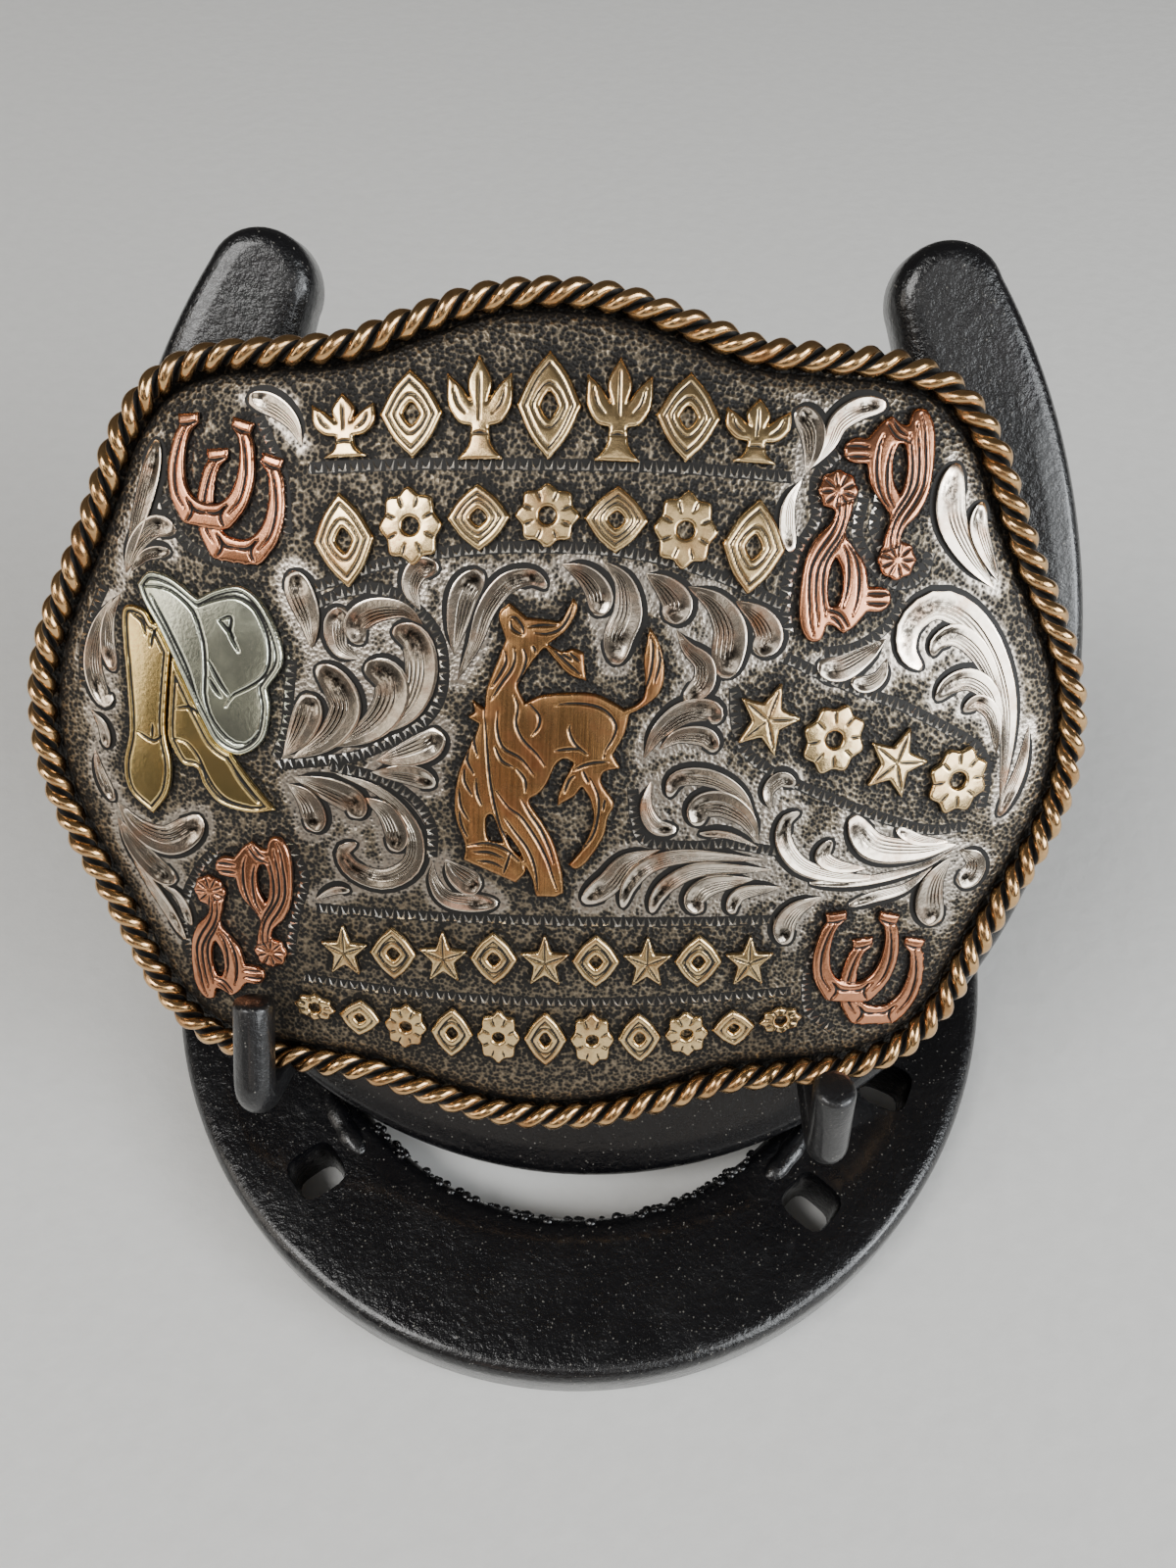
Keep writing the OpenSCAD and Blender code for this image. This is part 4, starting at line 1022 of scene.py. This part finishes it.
def star_spoke(w, h, part, degrees):
    """The same on a star, whose middle lies a little low so that it looks centred."""
    x, y = spoke(w, h, part, degrees)
    return x, y - 0.04 * h


def diamond(w, h):
    """Four sharp corners with the sides bowed in a little between them."""
    return [spoke(w, h, 0.4, 45 * k) if k % 2 else (*spoke(w, h, 0.5, 45 * k), 1) for k in range(8)]


def motif(kind, w, h):
    """Outline and gap of one ornament: a star, a pierced lozenge, a concho with a hole, or a flower."""
    hole = None
    if kind == "star":
        ring = [(*star_spoke(w, h, 0.25 if k % 2 else 0.54, 36 * k), 1) for k in range(10)]
    elif kind == "lozenge":
        ring, hole = diamond(w, h), np.array([p[:2] for p in diamond(w * 0.26, h * 0.26)])
    elif kind == "concho":
        ring = [(*spoke(w, h, 0.42, 22.5 * k), 1) if k % 2 else spoke(w, h, 0.5, 22.5 * k) for k in range(16)]
        hole = w * 0.13 * circle(32)
    else:
        side = [(w * p[0], h * p[1], *p[2:]) for p in FLEUR_SIDE]
        ring = side + mirrored(side[:0:-1])
    return closed_curve(ring), hole


def ornament_rows():
    """The five rows: name, then kind, across, up, turn, width and height of each ornament."""
    rows = {"arch": [], "under": [], "level": [], "hem": [], "side": []}
    for i in range(-3, 4):
        h = 10.4 - 0.46 * i * i
        kind = ("lozenge", "fleur")[i % 2]
        rows["arch"].append((kind, 6.8 * i, 28.5 + h / 2, -1.2 * i, 6.4, h))
        h = 6.2 + 0.36 * i * i
        kind = ("concho", "lozenge")[i % 2]
        rows["under"].append((kind, 6.8 * i, 26.4 - 0.13 * i * i - h / 2, -2 * i, 6.4, h))
    for i in range(-4, 5):
        rows["level"].append((("star", "lozenge")[i % 2], 5.5 * i, -23.5, 0, 5.2, 6.4))
    for i in range(-5, 6):
        h = 7.2 - 0.15 * i * i
        kind = ("lozenge", "concho")[i % 2]
        rows["hem"].append((kind, 5.2 * i, -37.2 + 0.17 * i * i + h / 2, 1.6 * i, 4.8, h))
    for i in range(4):
        rows["side"].append((("star", "concho")[i % 2], 22.6 + 6.9 * i, 3.6 - 2.4 * i, -19, 6.6, 7.6))
    return rows


def ornament_lines(kind, w, h):
    """Engraved lines inside an ornament: a star's facets, a concho's petals, a flower's veins."""
    if kind == "star":
        return [[star_spoke(w, h, r, 72 * k) for r in (0, 0.3, 0.45)] for k in range(5)]
    if kind == "concho":
        return [[spoke(w, h, r, 45 * k + 22.5) for r in (0.24, 0.32, 0.4)] for k in range(8)]
    if kind == "fleur":
        vein = [(0.4 * w, 0.2 * h), (0.33 * w, 0.04 * h), (0.2 * w, -0.06 * h)]
        stem = [(0, 0.36 * h), (0, 0.1 * h), (0, -0.12 * h)]
        return [stem, vein, mirrored(vein), [(-0.14 * w, -0.26 * h), (0, -0.24 * h), (0.14 * w, -0.26 * h)]]
    return []


def ornaments():
    """The gilt rows, each ornament in relief with a few cut lines; returns their outlines."""
    edges = []
    for row, items in ornament_rows().items():
        for number, (kind, x, y, angle, w, h) in enumerate(items):
            ring, hole = motif(kind, w, h)
            place = lambda p: turned(p, angle) + (x, y)
            holes = [] if hole is None else [place(hole)]
            inner_line = [(0.75, 0.3, 0.16)] if kind == "lozenge" else []
            lines = cuts(ornament_lines(kind, w, h), 0.34, 0.2, place)
            relief(f"{row}_ornament_{number + 1}", [(place(ring), holes, lines, inner_line)], GILT,
                   step=0.15, crown=0.08)
            edges.append(place(ring))
    return edges


# Tick-cut borders

TICK_PATHS = [
    [(-23, 14.3), (-20.5, 15.4), (-17, 15.8), (-13.8, 14.6), (-11, 11.5), (-10.3, 8), (-10.9, 4.6),
     (-13, 2), (-16.5, 0), (-20.5, -1.6), (-28, -2.8)],
    [(-22.4, -2.6), (-18, -3.4), (-15, -4.7), (-12.9, -6.6), (-11.8, -9), (-11.9, -12)],
    [(-24, 27.4), (-12, 28), (0, 28.1), (12, 28), (24, 27.2)],
    [(-24, 15.6), (-16, 18.4), (-8, 19.8), (0, 20.2), (8, 19.8), (16, 18), (24, 14.6)],
    [(-25, -18.8), (-12, -18.9), (0, -18.9), (12, -18.9), (27, -18.8)],
    [(-27, -27.7), (-14, -28.5), (0, -28.9), (14, -28.5), (27, -27.7)],
    [(24, 9.6), (30, 6.9), (36, 4.7), (41, 2.3), (45.4, -0.4), (46.6, -3.4), (46.4, -7)],
    [(19, 6.6), (19.4, 2.6), (21, -0.6), (26, -3.6), (33, -6.6), (40, -9), (45, -9)],
    [(9, -4), (9.3, -7), (10.4, -9.6), (15, -10.2), (19, -10), (24, -10.9)],
    [(24.2, 12.4), (23.8, 16), (24.8, 20), (26.6, 23.4), (26.4, 27), (28.6, 29.6)],
    [(31.4, 25.4), (30.9, 21.6), (33, 18.4), (35.6, 16.8), (37.8, 17.8), (38.6, 20)],
    [(32.8, 27.6), (33, 25), (32.5, 22.6), (33.4, 20.6)],
    [(28, 10), (31.4, 10.6), (34.4, 12.6), (36, 15)],
    [(29.6, -22.4), (28.6, -26), (29.2, -30.4), (32, -33)],
    [(-40.6, -27), (-40.9, -21), (-38.4, -15.6), (-36, -13)],
    [(-27.4, -11.6), (-26, -15.4), (-27.4, -20), (-28.4, -24.8)],
    [(-30.4, 18.4), (-33, 18.1), (-37.6, 19.8), (-40.2, 24.4)], [(-29.4, 32.4), (-27, 27), (-26.4, 21)],
    [(-26.2, 8.4), (-26.6, 5), (-27.2, 1), (-28.4, -2)],
    [(-47.2, 15), (-48.8, 12), (-50.2, 8), (-50.6, 4)]]


TICK_STEP = 0.6
# Half the width of the dark band under the ticks, blackened ground with painted shade, and half the width of
# a tick's blunt end
BAND_HALF = 0.6
TICK_HALF = 0.22


def ticks():
    """Short bright wedges across each path, each a low pyramid leaning by turns, on a dark band of blackened
    ground with painted shade.
    """
    flat, height, marks, tris, quads = [], [], [], [], []
    rng = np.random.default_rng(7)
    count = 0
    for spine in TICK_PATHS:
        length = np.linalg.norm(np.diff(np.array(spine, float), axis=0), axis=1).sum()
        at = open_curve(spine, int(length / TICK_STEP))
        n = len(at)
        left = left_of(at)
        along = -quarter_left(left)
        swing = np.where(np.arange(n) % 2 == 0, 0.3, -0.3) + rng.uniform(-0.12, 0.12, n)
        reach = left + swing[:, None] * along
        reach = rng.uniform(0.38, 0.56, n)[:, None] * reach
        blunt = TICK_HALF * along
        corners = [at + reach, at - reach + blunt, at - reach - blunt, at - 0.3 * reach]
        flat.append(np.stack(corners, 1).reshape(-1, 2))
        height.append(np.tile([0.015, 0.015, 0.015, 0.19], n))
        marks.append(np.zeros(4 * n))
        k = count + 4 * np.arange(n)[:, None]
        tris.append(np.concatenate([k + [0, 3, 1], k + [0, 2, 3], k + [1, 3, 2]])[:, ::-1])
        count += 4 * n
        # The dark band: blackened ground with painted shade about the ticks
        band = np.linspace(-BAND_HALF, BAND_HALF, 4)
        flat.append((at[:, None] + band[None, :, None] * left[:, None]).reshape(-1, 2))
        height.append(np.full(4 * n, 0.008))
        marks.append(np.full(4 * n, 0.85))
        quads.append(grid_faces(n, 4, first=count)[:, ::-1])
        count += 4 * n
    points = on_face(np.vstack(flat), np.concatenate(height))
    return make_piece("tick_borders", points, np.vstack(quads), TICK,
                      tris=np.vstack(tris), marks=np.concatenate(marks), sharp=20)


# The stand

SHOE_W = 56.3
SHOE_LEN = 112.0
SHOE_WEB = 19.0
HEEL_R = 6.5
HEEL_SKEW = 2.6
TOE_DEEP = 1.1 * SHOE_W
# The nail holes of one branch: across, up from the toe, turn
NAILS = [(31, 22.4, -40), (41.4, 38.3, -22), (46.2, 56, -8)]
# A nail hole's half width and half length, from above the dish down to below the bar
NAIL_RINGS = [
    (4.5, 4.4, 9.6), (4.2, 4.1, 9.02), (3.7, 3.6, 8.8), (3.3, 3.2, 8.35), (3.0, 2.95, 7.4),
    (2.85, 2.8, 5.6), (2.8, 2.75, 3.4), (2.75, 2.7, -1.0)]
# Radius of the bar's rounded edge, outside and inside
OUTER_ROUND = 1.9
INNER_ROUND = 2.6


def shoe_sides(longer):
    """Outer and inner edges of one half: a quarter ellipse round the toe, a flatter ellipse up the branch,
    then a half circle at the heel, square to the way the branch leans in. The right heel of the standing shoe
    is a little longer."""
    a = np.radians(np.linspace(0, 90, 40))
    back = SHOE_LEN - HEEL_R + longer

    def side(half, toe, reach, end):
        y = np.linspace(TOE_DEEP, end, 26)[1:]
        return np.vstack([np.stack([half * np.sin(a), TOE_DEEP - (TOE_DEEP - toe) * np.cos(a)], 1),
                          np.stack([half * np.sqrt(1 - ((y - TOE_DEEP) / reach) ** 2), y], 1)])

    outer = side(SHOE_W, 0, 1.27 * SHOE_W, back + HEEL_SKEW)
    inner = side(SHOE_W - SHOE_WEB, SHOE_WEB, 1.44 * SHOE_W - 3.2 * longer, back - HEEL_SKEW)
    middle = (outer[-1] + inner[-1]) / 2
    half = outer[-1] - middle
    b = np.radians(np.linspace(0, 90, 13))[1:, None]
    across = half * np.cos(b)
    end = middle + np.array([-half[1], half[0]]) * np.sin(b)
    return np.vstack([outer, end + across]), np.vstack([inner, end - across])


def shoe_body(longer):
    """A bar round the shoe whose edges are quarter circles of radius r: at angle a the outline is moved in by
    r*(1 - cos a) and lies r*(1 - sin a) from the flat face, and the faces are filled across from the inner to
    the outer edge."""
    (outer, inner), (outer_left, inner_left) = shoe_sides(longer), shoe_sides(0.0)
    outer = np.vstack([outer_left[:0:-1] * [-1, 1], outer])
    inner = np.vstack([inner_left[:0:-1] * [-1, 1], inner])
    n = len(outer)
    loop = np.vstack([outer, inner[-2:0:-1]])
    away = -quarter_left(round_steps(loop))
    weight = np.concatenate([np.zeros(n), np.ones(n - 2)])
    for _ in range(14):
        weight = (np.roll(weight, 1) + weight + np.roll(weight, -1)) / 3
    r = OUTER_ROUND + (INNER_ROUND - OUTER_ROUND) * weight
    layers = []
    for turn in np.radians([-90, -67, -45, -22, 0, 0.001, 22, 45, 67, 90]):
        low = turn <= 0
        flat = loop - (r * (1 - math.cos(turn)))[:, None] * away
        z = r * (1 + math.sin(turn)) if low else SHOE_T - r * (1 - math.sin(turn))
        layers.append(np.column_stack([flat, z]))
    points, quads = [np.vstack(layers)], [grid_faces(len(layers), len(loop), wrap_cols=True)]
    count = len(points[0])
    for layer in (layers[0], layers[-1]):
        out_side = layer[:n]
        in_side = np.vstack([layer[:1], layer[n:][::-1], layer[n - 1:n]])
        part = np.linspace(0, 1, 6)[None, :, None]
        points.append((in_side[:, None] * (1 - part) + out_side[:, None] * part).reshape(-1, 3))
        quads.append(grid_faces(n, 6, first=count))
        count += n * 6
    return np.vstack(points), np.vstack(quads)


def nail_cutters():
    """Nail hole cutters: a rounded square (|x|^4 + |y|^4 = 1) that shrinks from the dish to the hole."""
    square = circle(28)
    square /= ((square ** 4).sum(1) ** 0.25)[:, None]
    sides, rings = len(square), len(NAIL_RINGS)
    k, last = np.arange(sides), (rings - 1) * sides
    onward = (k + 1) % sides
    points, quads, tris = [], [], []
    for side in (1, -1):
        for x, y, turn in NAILS:
            first = sum(len(p) for p in points)
            rows = [np.column_stack([turned(square * (w, h), side * turn) + (side * x, y), np.full(sides, z)])
                    for w, h, z in NAIL_RINGS]
            ends = [[side * x, y, NAIL_RINGS[0][2]], [side * x, y, NAIL_RINGS[-1][2]]]
            points.append(np.vstack(rows + [ends]))
            quads.append(grid_faces(rings, sides, wrap_cols=True, first=first)[:, ::-1])
            tris.append(first + np.stack([np.full(sides, rings * sides), k, onward], 1))
            tris.append(first + np.stack([np.full(sides, rings * sides + 1), last + onward, last + k], 1))
    return np.vstack(points), np.vstack(quads), np.vstack(tris)


def blank(name, points, faces):
    """A closed working body for cutting: points closer than a hundredth of a millimetre are merged, and the
    faces turned outwards."""
    mesh = bpy.data.meshes.new(name)
    mesh.from_pydata(points.tolist(), [], faces)
    work = bmesh.new()
    work.from_mesh(mesh)
    bmesh.ops.remove_doubles(work, verts=work.verts, dist=0.01)
    bmesh.ops.recalc_face_normals(work, faces=work.faces)
    work.to_mesh(mesh)
    work.free()
    body = bpy.data.objects.new(name, mesh)
    bpy.context.scene.collection.objects.link(body)
    return body


def shoe(name, place, longer=0.0):
    """One horseshoe: the rounded bar with its six nail holes cut out, then put in its place."""
    points, quads = shoe_body(longer)
    bar = blank("bar", points, quads.tolist())
    points, quads, tris = nail_cutters()
    punch = blank("punch", points, quads.tolist() + tris.tolist())
    cut = bar.modifiers.new("nail_holes", "BOOLEAN")
    cut.object = punch
    cut.operation = "DIFFERENCE"
    cut.solver = "EXACT"
    graph = bpy.context.evaluated_depsgraph_get()
    mesh = bpy.data.meshes.new_from_object(bar.evaluated_get(graph))
    for body in (bar, punch):
        bpy.data.objects.remove(body, do_unlink=True)
    mesh.name = name
    co = np.empty(len(mesh.vertices) * 3, np.float32)
    mesh.vertices.foreach_get("co", co)
    mesh.vertices.foreach_set("co", place(co.reshape(-1, 3)).astype(np.float32).reshape(-1))
    mesh.materials.clear()
    mesh.materials.append(PAINT)
    mesh.shade_smooth()
    mesh.set_sharp_from_angle(angle=math.radians(38))
    return add_piece(name, mesh, ("stand",))


PEG_R = 2.3
PEG_BEND = 3.0
PEG_SIDES = 24


def peg(name, across, up, dip, reach, rise, turn=0.0):
    """A rod out of the shoe's face that turns up: straight, a quarter circle, straight. It dips, and turns on
    its foot, by so many degrees; its radius flares at the weld and rounds over at the tip."""
    d = math.radians(dip)
    out = np.array([0, -math.sin(d), math.cos(d)])
    upward = np.array([0, math.cos(d), math.sin(d)])
    a = np.radians(np.linspace(0, 90, 12))
    leg = np.array([-1.5, 0, 0.4, 0.9, 1.6, 3, 6, 9, reach - PEG_BEND - 0.2])
    bend = PEG_BEND * np.stack([1 - np.cos(a), np.sin(a)], 1)
    tip = np.concatenate([[1, 3, 6], rise - PEG_BEND - np.array([0.7, 0.25, 0.02, 0])])
    ups = np.concatenate([np.zeros(len(leg)), bend[:, 0], PEG_BEND + tip])
    outs = np.concatenate([leg, reach - PEG_BEND + bend[:, 1], np.full(len(tip), reach)])
    path = ups[:, None] * upward + outs[:, None] * out
    path[:, :2] = turned(path[:, :2], turn)
    path += [across, up, 0]
    radius = np.full(len(path), PEG_R)
    radius[:4] = [3.6, 3.3, 2.8, 2.5]
    radius[-3:] = [2.15, 1.6, 0.02]
    side = np.array([1.0, 0, 0])
    points = tube(path, radius, side, np.cross(unit(np.gradient(path, axis=0)), side), PEG_SIDES)
    quads = grid_faces(len(path), PEG_SIDES, wrap_cols=True)
    return make_piece(name, stood(points.reshape(-1, 3)), quads[:, ::-1], PEG_PAINT)


# The middle of the right weld run on the lying shoe: across, back from its toe
WELD_LINE = [(25.4, 24.8), (27.4, 27), (29.4, 29.8), (31.6, 33)]


def welds():
    """Painted-over weld runs in the corners where the standing shoe meets the lying one: a round bar along a
    curve, its radius 1.5*(1 - t^4)^0.5*(1 + 0.05*sin(9*t + 1)), t from -1 to 1 along it, with - 1 for + 1 on
    the left; and small round drops of slag on the rounded inner edge of the lying shoe."""
    steps, sides = 40, 20
    t = np.linspace(-0.999, 0.999, steps)
    points, quads = [], []
    for side in (-1, 1):
        line = open_curve(np.array(WELD_LINE) * (side, 1), steps)
        radius = 1.5 * (1 - t ** 4) ** 0.5 * (1 + 0.05 * np.sin(9 * t + side))
        left = np.column_stack([left_of(line), np.zeros(steps)])
        line = np.column_stack([line, np.full(steps, SHOE_T - 0.5)])
        bar = tube(line, radius, left, np.array([0, 0, 0.85]), sides)
        quads.append(grid_faces(steps, sides, wrap_cols=True, first=sum(len(p) for p in points)))
        points.append(bar.reshape(-1, 3))
    rows, cols = 7, 10
    a = np.linspace(0, np.pi, rows)[:, None]
    ball = np.concatenate([np.sin(a)[:, :, None] * circle(cols)[None],
                           np.broadcast_to(np.cos(a)[:, :, None], (rows, cols, 1))], 2).reshape(-1, 3)
    rng = np.random.default_rng(11)
    inner = shoe_sides(0.0)[1]
    inner = inner[(inner[:, 0] < 25) & (inner[:, 1] < SHOE_LEN / 2)]
    edge_path = open_curve(np.vstack([inner[:0:-3] * [-1, 1], inner[::3]]), 300)
    for at in edge_path[rng.choice(300, 90, replace=False)]:
        size = rng.uniform(0.25, 0.6)
        down = rng.uniform(0.5, 2.4)
        inward = INNER_ROUND - np.sqrt(INNER_ROUND ** 2 - (INNER_ROUND - down) ** 2)
        place = at + unit(at - [0, 0.8 * SHOE_W]) * (inward + 0.05)
        quads.append(grid_faces(rows, cols, wrap_cols=True, first=sum(len(p) for p in points)))
        points.append(ball * (size * 1.2, size, size * 0.8) + (*place, SHOE_T - down))
    return make_piece("weld_runs", laid(np.vstack(points)), np.vstack(quads), PAINT)


# Building it

rope()
scroll()
edges = figures() + ornaments()
paths = list(leaf_paths())
middles = np.vstack([path for path, _, _ in paths])
halves = np.concatenate([half for _, half, _ in paths])
plate(middles, halves, np.vstack(edges))
ticks()
shoe("lying_shoe", laid)
shoe("standing_shoe", lambda p: stood(p - np.array([0, 0, SHOE_T])), longer=1.8)
peg("left_peg", -34.9, 16.85, 0, 15.15, 12.6)
peg("right_peg", 28.7, 24.25, 31.6, 17.85, 14.2, 6)
welds()
for name in ("belt_loop", "back_prong"):
    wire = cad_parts[name].data
    wire.materials.clear()
    wire.materials.append(WIRE_METAL)


# Floor, light and camera

# Half the width of the table, in metres
TABLE_HALF = 1.5
# What the lamps point at, in metres
LAMP_AIM = (0, 0, 0.05)
# Each lamp: name, place, width and height of its face in metres, power in watts, and colour
LAMPS = [
    ("window_right", (0.74, -0.44, 0.5), (0.8, 0.55), 8.0, (0.95, 0.98, 1)),
    ("overhead", (-0.55, -0.42, 0.95), (0.5, 0.4), 7.0, (1, 0.99, 0.97)),
    ("fill_left", (-0.72, -0.3, 0.35), (0.3, 0.5), 1.1, (1, 0.93, 0.84)),
    ("high_front", (0, -0.62, 0.85), (1.0, 0.22), 0.75, (1, 0.98, 0.95)),
    ("low_front", (-0.05, -0.95, 0.2), (0.5, 0.14), 0.16, (1, 0.9, 0.78)),
    ("edge_glint", (0.87, -0.29, 0.42), (0.25, 0.2), 2.4, (0.9, 0.95, 1)),
    ("card_warm", (-0.2, -0.93, 0.36), (0.12, 0.3), 0.08, (1, 0.64, 0.5)),
    ("card_pale", (0.22, -0.82, 0.52), (0.16, 0.26), 0.13, (1, 0.97, 0.92)),
    ("card_left", (-0.45, -0.72, 0.5), (0.2, 0.22), 0.15, (1, 0.93, 0.82))]


def floor():
    """A plain pale table with a very faint grain."""
    material, tree, shader = new_material("table")
    grain = noise(tree, 320.0, 4.0)
    on_piece(tree, grain)
    tone = mix_colour(tree, grain.outputs["Fac"], (0.78, 0.78, 0.76, 1), (0.86, 0.86, 0.84, 1))
    tree.links.new(tone, shader.inputs["Base Color"])
    shader.inputs["Roughness"].default_value = 0.7
    bump(tree, grain.outputs["Fac"], 0.4, 0.35)
    mesh = bpy.data.meshes.new("table")
    s = TABLE_HALF
    mesh.from_pydata([(-s, -s, 0), (s, -s, 0), (s, s, 0), (-s, s, 0)], [], [(0, 1, 2, 3)])
    mesh.materials.append(material)
    table = bpy.data.objects.new("table", mesh)
    bpy.context.scene.collection.objects.link(table)


def lamp(name, place, size, power, colour):
    """A soft rectangular lamp that points at the buckle."""
    data = bpy.data.lights.new(name, "AREA")
    data.shape = "RECTANGLE"
    data.size, data.size_y = size
    data.energy = power
    data.color = colour
    light = bpy.data.objects.new(name, data)
    light.location = place
    light.rotation_euler = (Vector(LAMP_AIM) - Vector(place)).to_track_quat("-Z", "Y").to_euler()
    bpy.context.scene.collection.objects.link(light)


# Where the photograph was taken from: place in millimetres, then pitch down, yaw and roll in degrees
EYE = (3.66, -28.88, 166.81)
PITCH, YAW, ROLL = 54.54, -2.07, 1.52
# The lens in pixels of the 1200 by 1600 picture, and the sensor that carries its long side
LENS_PX = 1300
LONG_SIDE_PX = 1600
SENSOR_MM = 36


def camera():
    """The camera looks along f = (sin yaw cos pitch, cos yaw cos pitch, -sin pitch), rolled about f."""
    pitch, yaw, roll = (math.radians(a) for a in (PITCH, YAW, ROLL))
    f = Vector((math.sin(yaw) * math.cos(pitch), math.cos(yaw) * math.cos(pitch), -math.sin(pitch)))
    r = Vector((math.cos(yaw), -math.sin(yaw), 0))
    u = r.cross(f)
    right = math.cos(roll) * r + math.sin(roll) * u
    up = math.cos(roll) * u - math.sin(roll) * r
    data = bpy.data.cameras.new("camera")
    data.sensor_fit = "AUTO"
    data.sensor_width = SENSOR_MM
    data.lens = LENS_PX / LONG_SIDE_PX * SENSOR_MM
    data.clip_start = 0.01
    eye = bpy.data.objects.new("camera", data)
    spot = (Vector(EYE) + Vector(SHIFT)) * MM
    eye.matrix_world = Matrix((*zip(right, up, -f, spot), (0, 0, 0, 1)))
    bpy.context.scene.collection.objects.link(eye)
    bpy.context.scene.camera = eye


floor()
camera()
for row in LAMPS:
    lamp(*row)
world = bpy.data.worlds.new("room")
bpy.context.scene.world = world
world.use_nodes = True
sky = world.node_tree.nodes["Background"]
sky.inputs["Color"].default_value = (0.86, 0.82, 0.78, 1)
sky.inputs["Strength"].default_value = 0.12
